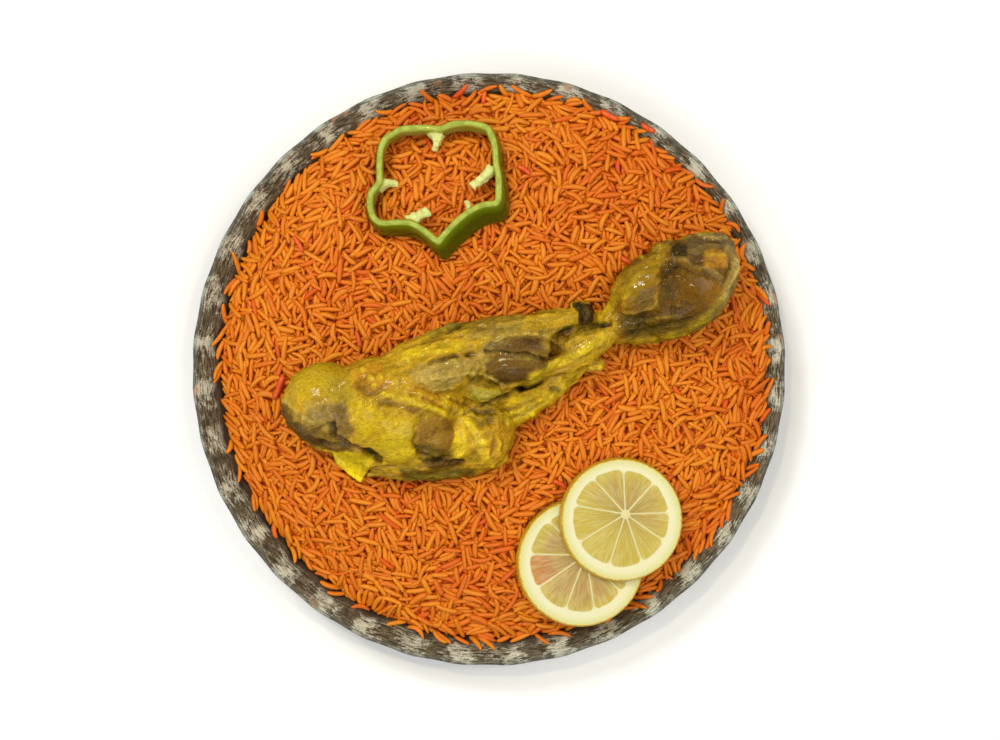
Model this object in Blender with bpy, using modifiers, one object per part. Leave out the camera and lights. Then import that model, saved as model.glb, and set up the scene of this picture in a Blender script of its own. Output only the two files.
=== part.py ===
"""Meat mandi: orange rice heaped in a fluted metal tray, with a cooked lamb shank,
a ring of green pepper and two lemon slices lying on it.

Metres, +Z up. The origin is the middle of the tray's flat base.
"""

import math
import random

import bmesh
import bpy
from mathutils import Matrix, Vector, noise
from mathutils.bvhtree import BVHTree

MM = 0.001
CLEARANCE = 0.35 * MM  # air between two pieces that touch

# Tray: beaten sheet, its flared wall pressed into flutes
TRAY_RADIUS = 140 * MM
TRAY_HEIGHT = 26 * MM
TRAY_SHEET = 1.2 * MM
BASE_RADIUS = 117 * MM
FLUTES = 36
FLUTE_DEPTH = 1.1 * MM  # how far a flute swings to either side of the wall's mean
EDGE_FLUTE = 0.22  # share of that swing left at the tray's edge
FLUTE_TURN = math.radians(4.5)
POINTS_A_FLUTE = 4

# Rice: a level heap with round shoulders, standing a little over the tray's edge
HEAP_TOP = 28 * MM
HEAP_EDGE = 16 * MM  # mean height at which the rice meets the wall
HEAP_EDGE_SWING = 3.8 * MM  # it lies lower on one side of the tray
HEAP_LOW_SIDE = math.radians(212)
HEAP_SHOULDER = 8  # power of the fall from the middle to the edge
GRAIN_LENGTH = 9.2 * MM
GRAIN_RELIEF = 1.8 * MM  # how far the top grains stand over the ones below
LOW_SHARE = 0.42  # share of the surface that stays low between the top grains
RIDGE_LIFTS = (0.5, 1)  # least and most of the relief that a grain gets
RIDGE_FALLS = (0.6, 1)  # how high its far end stays
SWELL_HEIGHT = 0.7 * MM  # slow unevenness of the heap
SWELL_LENGTH = 22 * MM
ANGLE_JITTER = 0.3  # unevenness of the spacing, in rows
ROW_JITTER = 0.5
HEAP_FOOT = BASE_RADIUS - 2 * MM
HEAP_ROWS = round(2 * (TRAY_RADIUS - 11 * MM) / (GRAIN_LENGTH / 2))  # two vertices a grain

# Shank: every muscle, bone end and strap as (x, y, height of its middle over the rice),
# (length, width, thickness), turn in degrees, all in millimetres
SHANK_LUMPS = {
    "round_end": ((-75, -15.5, 15), (38.5, 37, 36), 0),
    "round_end_low": ((-73, -24, 10), (36, 28, 24), -25),
    "thick_middle": ((-46, -17.5, 17), (72, 47, 40), 8),
    "under_roll": ((-20, -44, 6), (58, 14, 12), 7),
    "belly": ((-36, -31.5, 12), (62, 35, 26), 2),
    "fat_lump": ((-40, -31, 18), (27, 25, 24), 30),
    "cut_muscle": ((-24.5, -30, 17), (18, 19, 22), 80),
    "ruffled_fat": ((-6, -28, 12), (34, 37, 24), 35),
    "ruffled_edge": ((24, -8.5, 8), (68, 18, 14), 38),
    "under_muscle": ((6, -7, 9), (46, 18, 16), 30),
    "long_muscle": ((-12, 6.5, 17), (94, 28, 30), 15),
    "middle_muscle": ((-20, 0, 25), (37, 23, 22), 14),
    "upper_lobe": ((14, 9.5, 26), (31, 11, 15), -3),
    "lower_lobe": ((12, 1, 23), (29, 14, 18), 10),
    "small_muscle": ((-4, -9, 21), (22, 12, 16), -22),
    "narrow_end": ((31, 21, 16), (34, 13, 16), 5),
    "tendon_thin": ((18, -1, 20), (36, 8, 9), 26),
    "tendon_wide": ((42, 9.5, 15), (44, 15, 12), 32),
    "dark_band": ((44, 24.5, 17), (8, 13, 15), 8),
    "neck": ((56, 20.5, 11), (26, 14, 12), 28),
    "knuckle_neck": ((64, 24.5, 13), (28, 20, 18), 42),
    "knuckle_smooth": ((72, 37, 15), (38, 26, 25), 48),
    "knuckle_top": ((92, 49, 13), (32, 23, 22), 12),
    "knuckle": ((88, 37, 14), (54, 41, 30), 33),
    "knuckle_end": ((102, 46, 13), (26, 34, 25), 10),
    "knuckle_low": ((80, 23.5, 10), (44, 19, 17), 16),
    "gap_floor": ((31, 9, 10), (34, 18, 14), 32),
}
FLAP_CORNERS = ((-79, -38), (-68, -36), (-55, -43.5), (-61.5, -53.5))
FLAP_THICK = 4 * MM
FLAP_HEIGHT = 2.5 * MM
SHANK_VOXEL = 1.6 * MM
SHANK_SOFTENINGS = 4
SHANK_TRIANGLES = 2500

# Pepper ring: five lobes and the five folds between them, as (degrees, millimetres)
PEPPER_CENTRE = (-23.8, 84.3)
PEPPER_LOBES = ((132, 35.2), (47, 37.2), (-18, 32), (-88, 28), (-163, 32.8))
PEPPER_FOLDS = ((90, 27.9), (17, 30.5), (-43, 22.4), (-124, 23.5), (172, 28.4))
PEPPER_WALL = 3 * MM
PEPPER_TALL = 11.5 * MM
PEPPER_FLARE = (2.4 * MM, -4.8 * MM)  # how far the lower cut lies from the upper one
PEPPER_FLARE_DIRECTION = math.radians(-52)
PEPPER_LEAN = (math.radians(-5), math.radians(-3))
RIB_LENGTHS = (8, 12.5, 6.5, 10.5, 7.5)  # millimetres, in the order of the folds
RIB_SWINGS = (-2, 27, -40, -8, -10)  # degrees that a rib leans from the ring's middle
RIB_THICK = 2.2 * MM
RIB_TALL = PEPPER_TALL * 0.7
RIB_ROOT = 0.4  # millimetres that a rib reaches into the wall
TORN_SHARE = 0.6  # height and thickness of a rib's torn end, as a share of its root's

# Lemon slices: (x, y) in millimetres, radius, turn of the segments
LEMON_THICK = 5.2 * MM
LEMON_TAPER = 1 * MM
LEMON_LEAN = 4.5  # degrees, both slices lean the same way
LEMON_LEAN_SIDE = 46
LEMON_SIDES = 48
LOWER_LEMON = ((42.8, -90.6), 30.2 * MM, 8)
UPPER_LEMON = ((61.6, -70.2), 29 * MM, -5)
LEMON_PITH = 5.6 * MM
SEGMENTS = 9
SEGMENT_DEPTH = 0.6 * MM
MEMBRANE = 0.9 * MM
LEMON_CORE = 3 * MM
WEDGE_POINTS = 5  # points along a segment's outer side
WEDGE_CORNER = 0.93  # its two outer corners are drawn in to this share, so they look round
LEMON_REST = 0.8  # share of the ground under a slice that it clears

COLOURS = {
    "aged_metal": ((0.20, 0.17, 0.14), 0.38, 0.9),
    "orange_rice": ((0.62, 0.15, 0.008), 0.45, 0.0),
    "cooked_meat": ((0.42, 0.27, 0.03), 0.35, 0.0),
    "green_pepper": ((0.26, 0.34, 0.03), 0.3, 0.0),
    "lemon": ((0.66, 0.55, 0.18), 0.35, 0.0),
}


def clear_scene():
    for obj in list(bpy.data.objects):
        bpy.data.objects.remove(obj, do_unlink=True)


def material(name):
    colour, roughness, metallic = COLOURS[name]
    made = bpy.data.materials.new(name)
    made.use_nodes = True
    shader = made.node_tree.nodes["Principled BSDF"]
    shader.inputs["Base Color"].default_value = (*colour, 1)
    shader.inputs["Roughness"].default_value = roughness
    shader.inputs["Metallic"].default_value = metallic
    return made


def new_object(name, mesh, folder, look):
    obj = bpy.data.objects.new(name, mesh)
    folder.objects.link(obj)
    mesh.materials.append(look)
    return obj


def mesh_from(bm, name):
    mesh = bpy.data.meshes.new(name)
    bm.to_mesh(mesh)
    bm.free()
    return mesh


def apply_modifiers(obj):
    """Swaps the object's mesh for the one that its modifiers make of it."""
    bpy.context.view_layer.update()
    graph = bpy.context.evaluated_depsgraph_get()
    made = bpy.data.meshes.new_from_object(obj.evaluated_get(graph))
    obj.modifiers.clear()
    obj.data = made


def join_all(obj, folder, tools):
    """Fuses every tool object with obj and removes the tools."""
    boolean = obj.modifiers.new("join", "BOOLEAN")
    boolean.operation = "UNION"
    boolean.operand_type = "COLLECTION"
    boolean.collection = folder
    apply_modifiers(obj)
    for tool in tools:
        bpy.data.objects.remove(tool, do_unlink=True)


# ---------------------------------------------------------------- tray


def tray_profile():
    """(radius, height, share of the flutes' depth) of the tray's outside, middle to edge."""
    return (
        (0, 0, 0),
        (BASE_RADIUS, 0, 0),
        (BASE_RADIUS + 4.5 * MM, 1.2 * MM, 0.1),
        (BASE_RADIUS + 9 * MM, 5 * MM, 0.5),
        (BASE_RADIUS + 17.5 * MM, 18.5 * MM, 1),
        (TRAY_RADIUS - FLUTE_DEPTH * EDGE_FLUTE, TRAY_HEIGHT - 0.4 * MM, EDGE_FLUTE),
    )


def wall_radius(height):
    """The outside's mean radius at a height, and the flutes' depth there."""
    rows = tray_profile()[1:]
    for (r0, z0, f0), (r1, z1, f1) in zip(rows, rows[1:]):
        if height <= z1:
            share = (height - z0) / (z1 - z0)
            return r0 + (r1 - r0) * share, (f0 + (f1 - f0) * share) * FLUTE_DEPTH
    return rows[-1][0], rows[-1][2] * FLUTE_DEPTH


def make_tray(folder):
    bm = bmesh.new()
    profile = [bm.verts.new((r, 0, z)) for r, z, _ in tray_profile()]
    edges = [bm.edges.new(pair) for pair in zip(profile, profile[1:])]
    bmesh.ops.spin(
        bm,
        geom=profile + edges,
        cent=(0, 0, 0),
        axis=(0, 0, 1),
        angle=math.tau,
        steps=FLUTES * POINTS_A_FLUTE,
        use_merge=True,
    )
    bmesh.ops.remove_doubles(bm, verts=bm.verts, dist=0.01 * MM)
    for vert in bm.verts:
        x, y, z = vert.co
        if math.hypot(x, y) <= BASE_RADIUS:
            continue
        wave = math.cos(FLUTES * math.atan2(y, x))
        swing = wall_radius(z)[1] * wave
        vert.co += Vector((x, y, 0)).normalized() * swing
        vert.co.z += swing * 0.3 * z / TRAY_HEIGHT
    bmesh.ops.rotate(bm, cent=(0, 0, 0), matrix=Matrix.Rotation(FLUTE_TURN, 3, "Z"), verts=bm.verts)
    bmesh.ops.recalc_face_normals(bm, faces=bm.faces)
    if sum(face.normal.z for face in bm.faces) < 0:
        bmesh.ops.reverse_faces(bm, faces=bm.faces)
    mesh = mesh_from(bm, "tray")
    mesh.shade_smooth()
    tray = new_object("tray", mesh, folder, material("aged_metal"))
    sheet = tray.modifiers.new("sheet", "SOLIDIFY")
    sheet.thickness = TRAY_SHEET
    sheet.offset = 1
    return tray


# ---------------------------------------------------------------- rice


def heap_edge(angle):
    """(radius, height) at which the rice meets the tray's wall."""
    height = HEAP_EDGE - HEAP_EDGE_SWING * math.cos(angle - HEAP_LOW_SIDE)
    radius, flute = wall_radius(height)
    return radius - flute - TRAY_SHEET * 1.5 - CLEARANCE, height


def heap_height(x, y):
    """The heap's mean top surface, without the grains' relief."""
    edge_radius, edge_height = heap_edge(math.atan2(y, x))
    share = min(math.hypot(x, y) / edge_radius, 1)
    return edge_height + (HEAP_TOP - edge_height) * (1 - share**HEAP_SHOULDER)


def square_to_disc(u, v):
    """A point of the square from -1 to 1 as (share of the radius, angle), evenly spread."""
    if u == 0 and v == 0:
        return 0, 0
    if abs(u) >= abs(v):
        angle = math.pi / 4 * v / u
        return abs(u), angle if u > 0 else angle + math.pi
    angle = math.pi / 2 - math.pi / 4 * u / v
    return abs(v), angle if v > 0 else angle + math.pi


def lay_grains(bm, rng):
    """Lifts pairs of neighbouring vertices, each pair the ridge of one lying grain."""
    lifts = {}
    order = list(bm.verts)
    rng.shuffle(order)
    for vert in order:
        if vert in lifts or rng.random() < LOW_SHARE:
            continue
        around = {v for face in vert.link_faces for v in face.verts} - {vert}
        free = sorted((v for v in around if v not in lifts), key=lambda v: v.index)
        if not free:
            continue
        lift = GRAIN_RELIEF * rng.uniform(*RIDGE_LIFTS)
        lifts[vert] = lift
        lifts[rng.choice(free)] = lift * rng.uniform(*RIDGE_FALLS)
    return lifts


def underside(trees, x, y):
    """The lowest point of the toppings over (x, y), or None."""
    found = [tree.ray_cast(Vector((x, y, -1)), Vector((0, 0, 1)))[0] for tree in trees]
    heights = [hit.z for hit in found if hit]
    return min(heights) if heights else None


def room_under(trees, x, y, reach):
    """How high the rice may stand near (x, y) without touching a topping."""
    places = [(x, y)]
    for ring in (0.5, 1):
        for step in range(8):
            angle = step * math.tau / 8
            places.append((x + reach * ring * math.cos(angle), y + reach * ring * math.sin(angle)))
    heights = [underside(trees, *place) for place in places]
    return min((h for h in heights if h is not None), default=math.inf)


def make_rice(folder, toppings):
    bm = bmesh.new()
    bmesh.ops.create_grid(bm, x_segments=HEAP_ROWS, y_segments=HEAP_ROWS, size=1)
    bm.verts.index_update()
    rng = random.Random(3)
    rim = {v for e in bm.edges if e.is_boundary for v in e.verts}
    for vert in bm.verts:
        share, angle = square_to_disc(vert.co.x, vert.co.y)
        if vert not in rim:  # uneven spacing hides the grid
            angle += rng.uniform(-ANGLE_JITTER, ANGLE_JITTER) / HEAP_ROWS
            share += rng.uniform(-ROW_JITTER, ROW_JITTER) / HEAP_ROWS
        radius = share * heap_edge(angle)[0]
        vert.co = (radius * math.cos(angle), radius * math.sin(angle), 0)
    lifts = lay_grains(bm, rng)
    trees = [BVHTree.FromPolygons(*polygons(obj)) for obj in toppings]
    reach = 1.25 * 2 * TRAY_RADIUS / HEAP_ROWS  # a little over one cell
    for vert in bm.verts:
        x, y, _ = vert.co
        height = heap_height(x, y)
        if vert not in rim:
            height += lifts.get(vert, 0) - GRAIN_RELIEF / 2
            height += SWELL_HEIGHT * noise.noise(Vector((x, y, 0)) / SWELL_LENGTH)
        vert.co.z = min(height, room_under(trees, x, y, reach) - CLEARANCE)
    side = bmesh.ops.extrude_edge_only(bm, edges=[e for e in bm.edges if e.is_boundary])
    foot = [item for item in side["geom"] if isinstance(item, bmesh.types.BMVert)]
    for vert in foot:
        flat = Vector((vert.co.x, vert.co.y, 0)).normalized() * HEAP_FOOT
        vert.co = (flat.x, flat.y, TRAY_SHEET + CLEARANCE)
    bmesh.ops.contextual_create(bm, geom=[e for e in bm.edges if e.is_boundary])
    bmesh.ops.triangulate(bm, faces=bm.faces)
    bmesh.ops.recalc_face_normals(bm, faces=bm.faces)
    return new_object("rice_heap", mesh_from(bm, "rice_heap"), folder, material("orange_rice"))


def polygons(obj):
    """World-space vertices and faces of an object that has no live modifier."""
    bpy.context.view_layer.update()
    place = obj.matrix_world
    corners = [place @ v.co for v in obj.data.vertices]
    return corners, [tuple(p.vertices) for p in obj.data.polygons]


# ---------------------------------------------------------------- shank


def add_lump(bm, place, size, turn):
    x, y, over = (part * MM for part in place)
    matrix = Matrix.Translation((x, y, heap_height(x, y) + over))
    matrix @= Matrix.Rotation(math.radians(turn), 4, "Z")
    matrix @= Matrix.Diagonal((*(part * MM / 2 for part in size), 1))
    bmesh.ops.create_icosphere(bm, subdivisions=3, radius=1, matrix=matrix)


def add_flap(bm):
    """The loose corner of fat skin that lies on the rice beside the round end."""
    corners = [
        bm.verts.new((x * MM, y * MM, heap_height(x * MM, y * MM) + FLAP_HEIGHT))
        for x, y in FLAP_CORNERS
    ]
    face = bm.faces.new(corners)
    pulled = bmesh.ops.extrude_face_region(bm, geom=[face])
    raised = [item for item in pulled["geom"] if isinstance(item, bmesh.types.BMVert)]
    bmesh.ops.translate(bm, verts=raised, vec=(0, 0, FLAP_THICK))
    bmesh.ops.recalc_face_normals(bm, faces=list({f for v in corners + raised for f in v.link_faces}))


def make_shank(folder):
    bm = bmesh.new()
    for place, size, turn in SHANK_LUMPS.values():
        add_lump(bm, place, size, turn)
    add_flap(bm)
    shank = new_object("lamb_shank", mesh_from(bm, "lamb_shank"), folder, material("cooked_meat"))
    fuse = shank.modifiers.new("fuse", "REMESH")
    fuse.mode = "VOXEL"
    fuse.voxel_size = SHANK_VOXEL
    soften = shank.modifiers.new("soften", "SMOOTH")
    soften.factor = 0.5
    soften.iterations = SHANK_SOFTENINGS
    apply_modifiers(shank)
    for vert in shank.data.vertices:  # the meat has settled on the rice
        vert.co.z = max(vert.co.z, heap_height(vert.co.x, vert.co.y) + CLEARANCE)
    thin = shank.modifiers.new("thin", "DECIMATE")
    thin.ratio = SHANK_TRIANGLES / (2 * len(shank.data.polygons))
    apply_modifiers(shank)
    shank.data.shade_smooth()
    return shank


# ---------------------------------------------------------------- pepper


def smooth_ring(points, steps):
    """A closed smooth line through the points, with steps new points between each two."""
    count = len(points)
    line = []
    for i in range(count):
        p0, p1, p2, p3 = (points[(i + k - 1) % count] for k in range(4))
        for step in range(steps):
            t = step / steps
            line.append(
                0.5
                * (
                    2 * p1
                    + (p2 - p0) * t
                    + (2 * p0 - 5 * p1 + 4 * p2 - p3) * t**2
                    + (3 * p1 - p0 - 3 * p2 + p3) * t**3
                )
            )
    return line


def on_ring(angle, radius):
    turned = math.radians(angle)
    return Vector((radius * MM * math.cos(turned), radius * MM * math.sin(turned), 0))


def pepper_outline():
    knots = sorted(PEPPER_LOBES + PEPPER_FOLDS)
    return smooth_ring([on_ring(*knot) for knot in knots], 4)


def flare_at(point):
    """How far the lower cut stands out from the upper one, beside a point of the ring."""
    side = 0.5 + 0.5 * math.cos(math.atan2(point.y, point.x) - PEPPER_FLARE_DIRECTION)
    return Vector((*PEPPER_FLARE, 0)) * (0.25 + 0.75 * side)


def make_rib(number, folder, centre_matrix):
    angle, radius = PEPPER_FOLDS[number]
    length = RIB_LENGTHS[number] * MM
    inward = math.radians(angle + 180 + RIB_SWINGS[number])
    start = on_ring(angle, radius - RIB_ROOT)
    middle = start + Vector((math.cos(inward), math.sin(inward), 0)) * length / 2
    bm = bmesh.new()
    bmesh.ops.create_cube(bm, size=1)
    for vert in bm.verts:
        if vert.co.x > 0:  # the torn end is lower and thinner
            vert.co.y *= TORN_SHARE
            vert.co.z *= TORN_SHARE
    bmesh.ops.scale(bm, vec=(length, RIB_THICK, RIB_TALL), verts=bm.verts)
    bmesh.ops.rotate(bm, cent=(0, 0, 0), matrix=Matrix.Rotation(inward, 3, "Z"), verts=bm.verts)
    bmesh.ops.translate(bm, vec=middle + Vector((0, 0, PEPPER_TALL / 2)), verts=bm.verts)
    bmesh.ops.transform(bm, matrix=centre_matrix, verts=bm.verts)
    rib = bpy.data.objects.new(f"rib_{number}", mesh_from(bm, f"rib_{number}"))
    folder.objects.link(rib)
    return rib


def make_pepper(folder, tools_folder):
    x, y = (part * MM for part in PEPPER_CENTRE)
    ground = heap_height(x, y) + CLEARANCE
    place = Matrix.Translation((x, y, ground))
    place @= Matrix.Rotation(PEPPER_LEAN[0], 4, "X") @ Matrix.Rotation(PEPPER_LEAN[1], 4, "Y")
    bm = bmesh.new()
    top = [bm.verts.new(point + Vector((0, 0, PEPPER_TALL))) for point in pepper_outline()]
    hoop = [bm.edges.new((a, b)) for a, b in zip(top, top[1:] + top[:1])]
    wall = bmesh.ops.extrude_edge_only(bm, edges=hoop)
    for vert in (item for item in wall["geom"] if isinstance(item, bmesh.types.BMVert)):
        vert.co += flare_at(vert.co) - Vector((0, 0, PEPPER_TALL))
    bmesh.ops.recalc_face_normals(bm, faces=bm.faces)
    first = bm.faces[:][0]
    if first.normal.dot(first.calc_center_median()) < 0:
        bmesh.ops.reverse_faces(bm, faces=bm.faces)
    bmesh.ops.transform(bm, matrix=place, verts=bm.verts)
    ring = new_object("pepper_ring", mesh_from(bm, "pepper_ring"), folder, material("green_pepper"))
    flesh = ring.modifiers.new("flesh", "SOLIDIFY")
    flesh.thickness = PEPPER_WALL
    flesh.offset = -1
    apply_modifiers(ring)
    ribs = [make_rib(number, tools_folder, place) for number in range(len(PEPPER_FOLDS))]
    join_all(ring, tools_folder, ribs)
    return ring


# ---------------------------------------------------------------- lemon


def segment_cutter(bm, radius, first, last):
    """A wedge of pulp between two membranes, as a block that reaches through the slice's top."""
    reach = radius - LEMON_TAPER - LEMON_PITH
    middle = (first + last) / 2
    gap = MEMBRANE / 2 / math.sin((last - first) / 2)
    tip = Vector((math.cos(middle), math.sin(middle), 0)) * max(gap, LEMON_CORE)
    side = MEMBRANE / 2 / reach
    corners = [tip]
    for step in range(WEDGE_POINTS):
        angle = first + side + (last - first - 2 * side) * step / (WEDGE_POINTS - 1)
        pull = WEDGE_CORNER if step in (0, WEDGE_POINTS - 1) else 1
        corners.append(Vector((math.cos(angle), math.sin(angle), 0)) * reach * pull)
    floor = LEMON_THICK - SEGMENT_DEPTH
    face = bm.faces.new([bm.verts.new(c + Vector((0, 0, floor))) for c in corners])
    pulled = bmesh.ops.extrude_face_region(bm, geom=[face])
    raised = [item for item in pulled["geom"] if isinstance(item, bmesh.types.BMVert)]
    bmesh.ops.translate(bm, verts=raised, vec=(0, 0, 4 * SEGMENT_DEPTH))


def make_lemon(name, slice_size, ground, folder, tools_folder):
    (x, y), radius, turn = slice_size
    lean_axis = Matrix.Rotation(math.radians(LEMON_LEAN_SIDE), 3, "Z") @ Vector((0, 1, 0))
    place = Matrix.Translation((x * MM, y * MM, ground))
    place @= Matrix.Rotation(math.radians(LEMON_LEAN), 4, lean_axis)
    bm = bmesh.new()
    bmesh.ops.create_cone(
        bm,
        cap_ends=True,
        segments=LEMON_SIDES,
        radius1=radius,
        radius2=radius - LEMON_TAPER,
        depth=LEMON_THICK,
        matrix=Matrix.Translation((0, 0, LEMON_THICK / 2)),
    )
    slice_obj = new_object(name, mesh_from(bm, name), folder, material("lemon"))
    cutter = bmesh.new()
    for number in range(SEGMENTS):
        first = math.radians(turn) + number * math.tau / SEGMENTS
        segment_cutter(cutter, radius, first, first + math.tau / SEGMENTS)
    bmesh.ops.recalc_face_normals(cutter, faces=cutter.faces)
    wedges = bpy.data.objects.new(f"{name}_segments", mesh_from(cutter, f"{name}_segments"))
    tools_folder.objects.link(wedges)
    pockets = slice_obj.modifiers.new("segments", "BOOLEAN")
    pockets.operation = "DIFFERENCE"
    pockets.object = wedges
    apply_modifiers(slice_obj)
    bpy.data.objects.remove(wedges, do_unlink=True)
    slice_obj.matrix_world = place
    return slice_obj


def lemon_ground(slice_size):
    """The height of a leaning slice's middle that just clears the rice under it."""
    (x, y), radius, _ = slice_size
    lean = math.tan(math.radians(LEMON_LEAN))
    toward = Vector((math.cos(math.radians(LEMON_LEAN_SIDE)), math.sin(math.radians(LEMON_LEAN_SIDE))))
    grounds = []
    for step in range(24):
        for share in (0, 0.5, 0.95):
            offset = Vector((math.cos(step * math.tau / 24), math.sin(step * math.tau / 24)))
            offset *= radius * share
            under = heap_height(x * MM + offset.x, y * MM + offset.y)
            grounds.append(under + offset.dot(toward) * lean)
    return sorted(grounds)[int(len(grounds) * LEMON_REST)] + CLEARANCE


def main():
    clear_scene()
    scene = bpy.context.scene
    folder = bpy.data.collections.new("meat_mandi")
    tools_folder = bpy.data.collections.new("tools")
    scene.collection.children.link(folder)
    scene.collection.children.link(tools_folder)
    tools_folder.hide_render = True

    make_tray(folder)
    shank = make_shank(folder)
    pepper = make_pepper(folder, tools_folder)
    low = lemon_ground(LOWER_LEMON)
    lower = make_lemon("lemon_slice_lower", LOWER_LEMON, low, folder, tools_folder)
    # The upper slice lies flat on the lower one, so it stands one slice higher along the lean.
    lean = math.radians(LEMON_LEAN)
    apart = (Vector(UPPER_LEMON[0]) - Vector(LOWER_LEMON[0])).length * MM
    high = low + LEMON_THICK / math.cos(lean) - apart * math.tan(lean) + CLEARANCE
    upper = make_lemon("lemon_slice_upper", UPPER_LEMON, high, folder, tools_folder)
    make_rice(folder, [shank, pepper, lower, upper])


main()
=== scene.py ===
import math

import bmesh
import bpy
import numpy as np
from mathutils import Matrix, Vector, noise
from mathutils.bvhtree import BVHTree


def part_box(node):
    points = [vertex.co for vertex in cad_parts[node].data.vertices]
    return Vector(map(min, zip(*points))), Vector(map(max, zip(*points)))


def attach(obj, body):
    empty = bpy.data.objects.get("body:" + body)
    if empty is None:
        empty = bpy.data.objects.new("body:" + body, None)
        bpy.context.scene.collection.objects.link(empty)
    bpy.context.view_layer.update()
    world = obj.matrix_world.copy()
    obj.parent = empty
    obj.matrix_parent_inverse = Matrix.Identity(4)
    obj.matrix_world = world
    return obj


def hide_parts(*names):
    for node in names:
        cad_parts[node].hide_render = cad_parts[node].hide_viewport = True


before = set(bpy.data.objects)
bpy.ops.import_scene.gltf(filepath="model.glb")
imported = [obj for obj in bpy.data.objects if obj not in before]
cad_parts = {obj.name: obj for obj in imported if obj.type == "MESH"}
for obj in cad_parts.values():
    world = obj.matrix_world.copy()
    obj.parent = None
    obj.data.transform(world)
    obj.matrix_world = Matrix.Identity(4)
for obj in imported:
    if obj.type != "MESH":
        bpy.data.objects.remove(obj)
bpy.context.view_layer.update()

mm = 0.001
scene = bpy.context.scene
scene.view_settings.view_transform = "Standard"
scene.view_settings.look = "None"


# Small helpers for meshes

def pieceFrom(bm, name, looks, smooth=True):
    mesh = bpy.data.meshes.new(name)
    bm.to_mesh(mesh)
    bm.free()
    if smooth:
        mesh.shade_smooth()
    piece = bpy.data.objects.new(name, mesh)
    scene.collection.objects.link(piece)
    for look in looks:
        mesh.materials.append(look)
    return piece


def spun(line, steps, merge):
    # the surface that a line makes when it goes once round the Z axis
    bm = bmesh.new()
    verts = [bm.verts.new(point) for point in line]
    edges = [bm.edges.new(pair) for pair in zip(verts, verts[1:])]
    bmesh.ops.spin(
        bm, geom=verts + edges, cent=(0, 0, 0), axis=(0, 0, 1), angle=math.tau, steps=steps, use_merge=True
    )
    bmesh.ops.remove_doubles(bm, verts=bm.verts, dist=merge)
    bmesh.ops.recalc_face_normals(bm, faces=bm.faces)
    return bm


def finishWithModifiers(piece):
    # swaps the mesh for what the modifiers make of it
    bpy.context.view_layer.update()
    graph = bpy.context.evaluated_depsgraph_get()
    made = bpy.data.meshes.new_from_object(piece.evaluated_get(graph))
    piece.modifiers.clear()
    old = piece.data
    piece.data = made
    made.name = old.name
    bpy.data.meshes.remove(old)


def fuseLumps(piece, cell, softenings):
    # makes one skin of all that overlaps
    fuse = piece.modifiers.new("fuse", "REMESH")
    fuse.mode = "VOXEL"
    fuse.voxel_size = cell
    soften = piece.modifiers.new("soften", "SMOOTH")
    soften.factor = 0.5
    soften.iterations = softenings
    finishWithModifiers(piece)


def pointsOf(mesh, what="co"):
    flat = np.empty(len(mesh.vertices) * 3, dtype=np.float32)
    mesh.vertices.foreach_get(what, flat)
    return flat.reshape(-1, 3).astype(np.float64)


def normalsOf(mesh):
    return pointsOf(mesh, "normal")


def movePoints(mesh, points):
    mesh.vertices.foreach_set("co", points.astype(np.float32).ravel())
    mesh.update()


def keepValues(mesh, name, values):
    # one number a vertex, for the material to read
    layer = mesh.attributes.new(name, "FLOAT", "POINT")
    layer.data.foreach_set("value", np.asarray(values, dtype=np.float32))


def keepVectors(mesh, name, vectors):
    layer = mesh.attributes.new(name, "FLOAT_VECTOR", "POINT")
    layer.data.foreach_set("vector", np.asarray(vectors, dtype=np.float32).ravel())


def treeOf(piece):
    mesh = piece.data
    return BVHTree.FromPolygons([v.co for v in mesh.vertices], [tuple(p.vertices) for p in mesh.polygons])


def softStep(low, high, value):
    share = np.clip((value - low) / (high - low), 0, 1)
    return share * share * (3 - 2 * share)


def noiseAt(points, scale, seed=0.0):
    # smooth noise from -1 to 1, scale is the size of a blotch in metres
    shift = Vector((seed * 7.31, seed * 3.17, seed * 5.53))
    return np.array([noise.noise(Vector(p) / scale + shift) for p in points])


# Node groups that several materials share

def newGroup(name, inputs, outputs):
    group = bpy.data.node_groups.new(name, "ShaderNodeTree")
    for label, kind, value in inputs:
        socket = group.interface.new_socket(label, in_out="INPUT", socket_type=kind)
        if value is not None:
            socket.default_value = value
    for label, kind in outputs:
        group.interface.new_socket(label, in_out="OUTPUT", socket_type=kind)
    enter = group.nodes.new("NodeGroupInput")
    leave = group.nodes.new("NodeGroupOutput")
    return group, enter, leave


def scaleFrom(group, size):
    # the texture scale for a size in millimetres
    node = group.nodes.new("ShaderNodeMath")
    node.operation = "DIVIDE"
    node.inputs[0].default_value = 1 / mm
    group.links.new(size, node.inputs[1])
    return node.outputs[0]


def makeBlotches():
    # mask of soft-edged blotches of a size, with a share of the surface that they cover
    inputs = (
        ("Vector", "NodeSocketVector", None),
        ("Size mm", "NodeSocketFloat", 5.0),
        ("Detail", "NodeSocketFloat", 3.0),
        ("Start", "NodeSocketFloat", 0.45),
        ("End", "NodeSocketFloat", 0.6),
    )
    group, enter, leave = newGroup("blotches", inputs, (("Mask", "NodeSocketFloat"),))
    nodes, links = group.nodes, group.links
    pattern = nodes.new("ShaderNodeTexNoise")
    links.new(enter.outputs["Vector"], pattern.inputs["Vector"])
    links.new(scaleFrom(group, enter.outputs["Size mm"]), pattern.inputs["Scale"])
    links.new(enter.outputs["Detail"], pattern.inputs["Detail"])
    edge = nodes.new("ShaderNodeMapRange")
    edge.interpolation_type = "SMOOTHSTEP"
    links.new(pattern.outputs["Fac"], edge.inputs["Value"])
    links.new(enter.outputs["Start"], edge.inputs["From Min"])
    links.new(enter.outputs["End"], edge.inputs["From Max"])
    links.new(edge.outputs["Result"], leave.inputs["Mask"])
    return group


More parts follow.
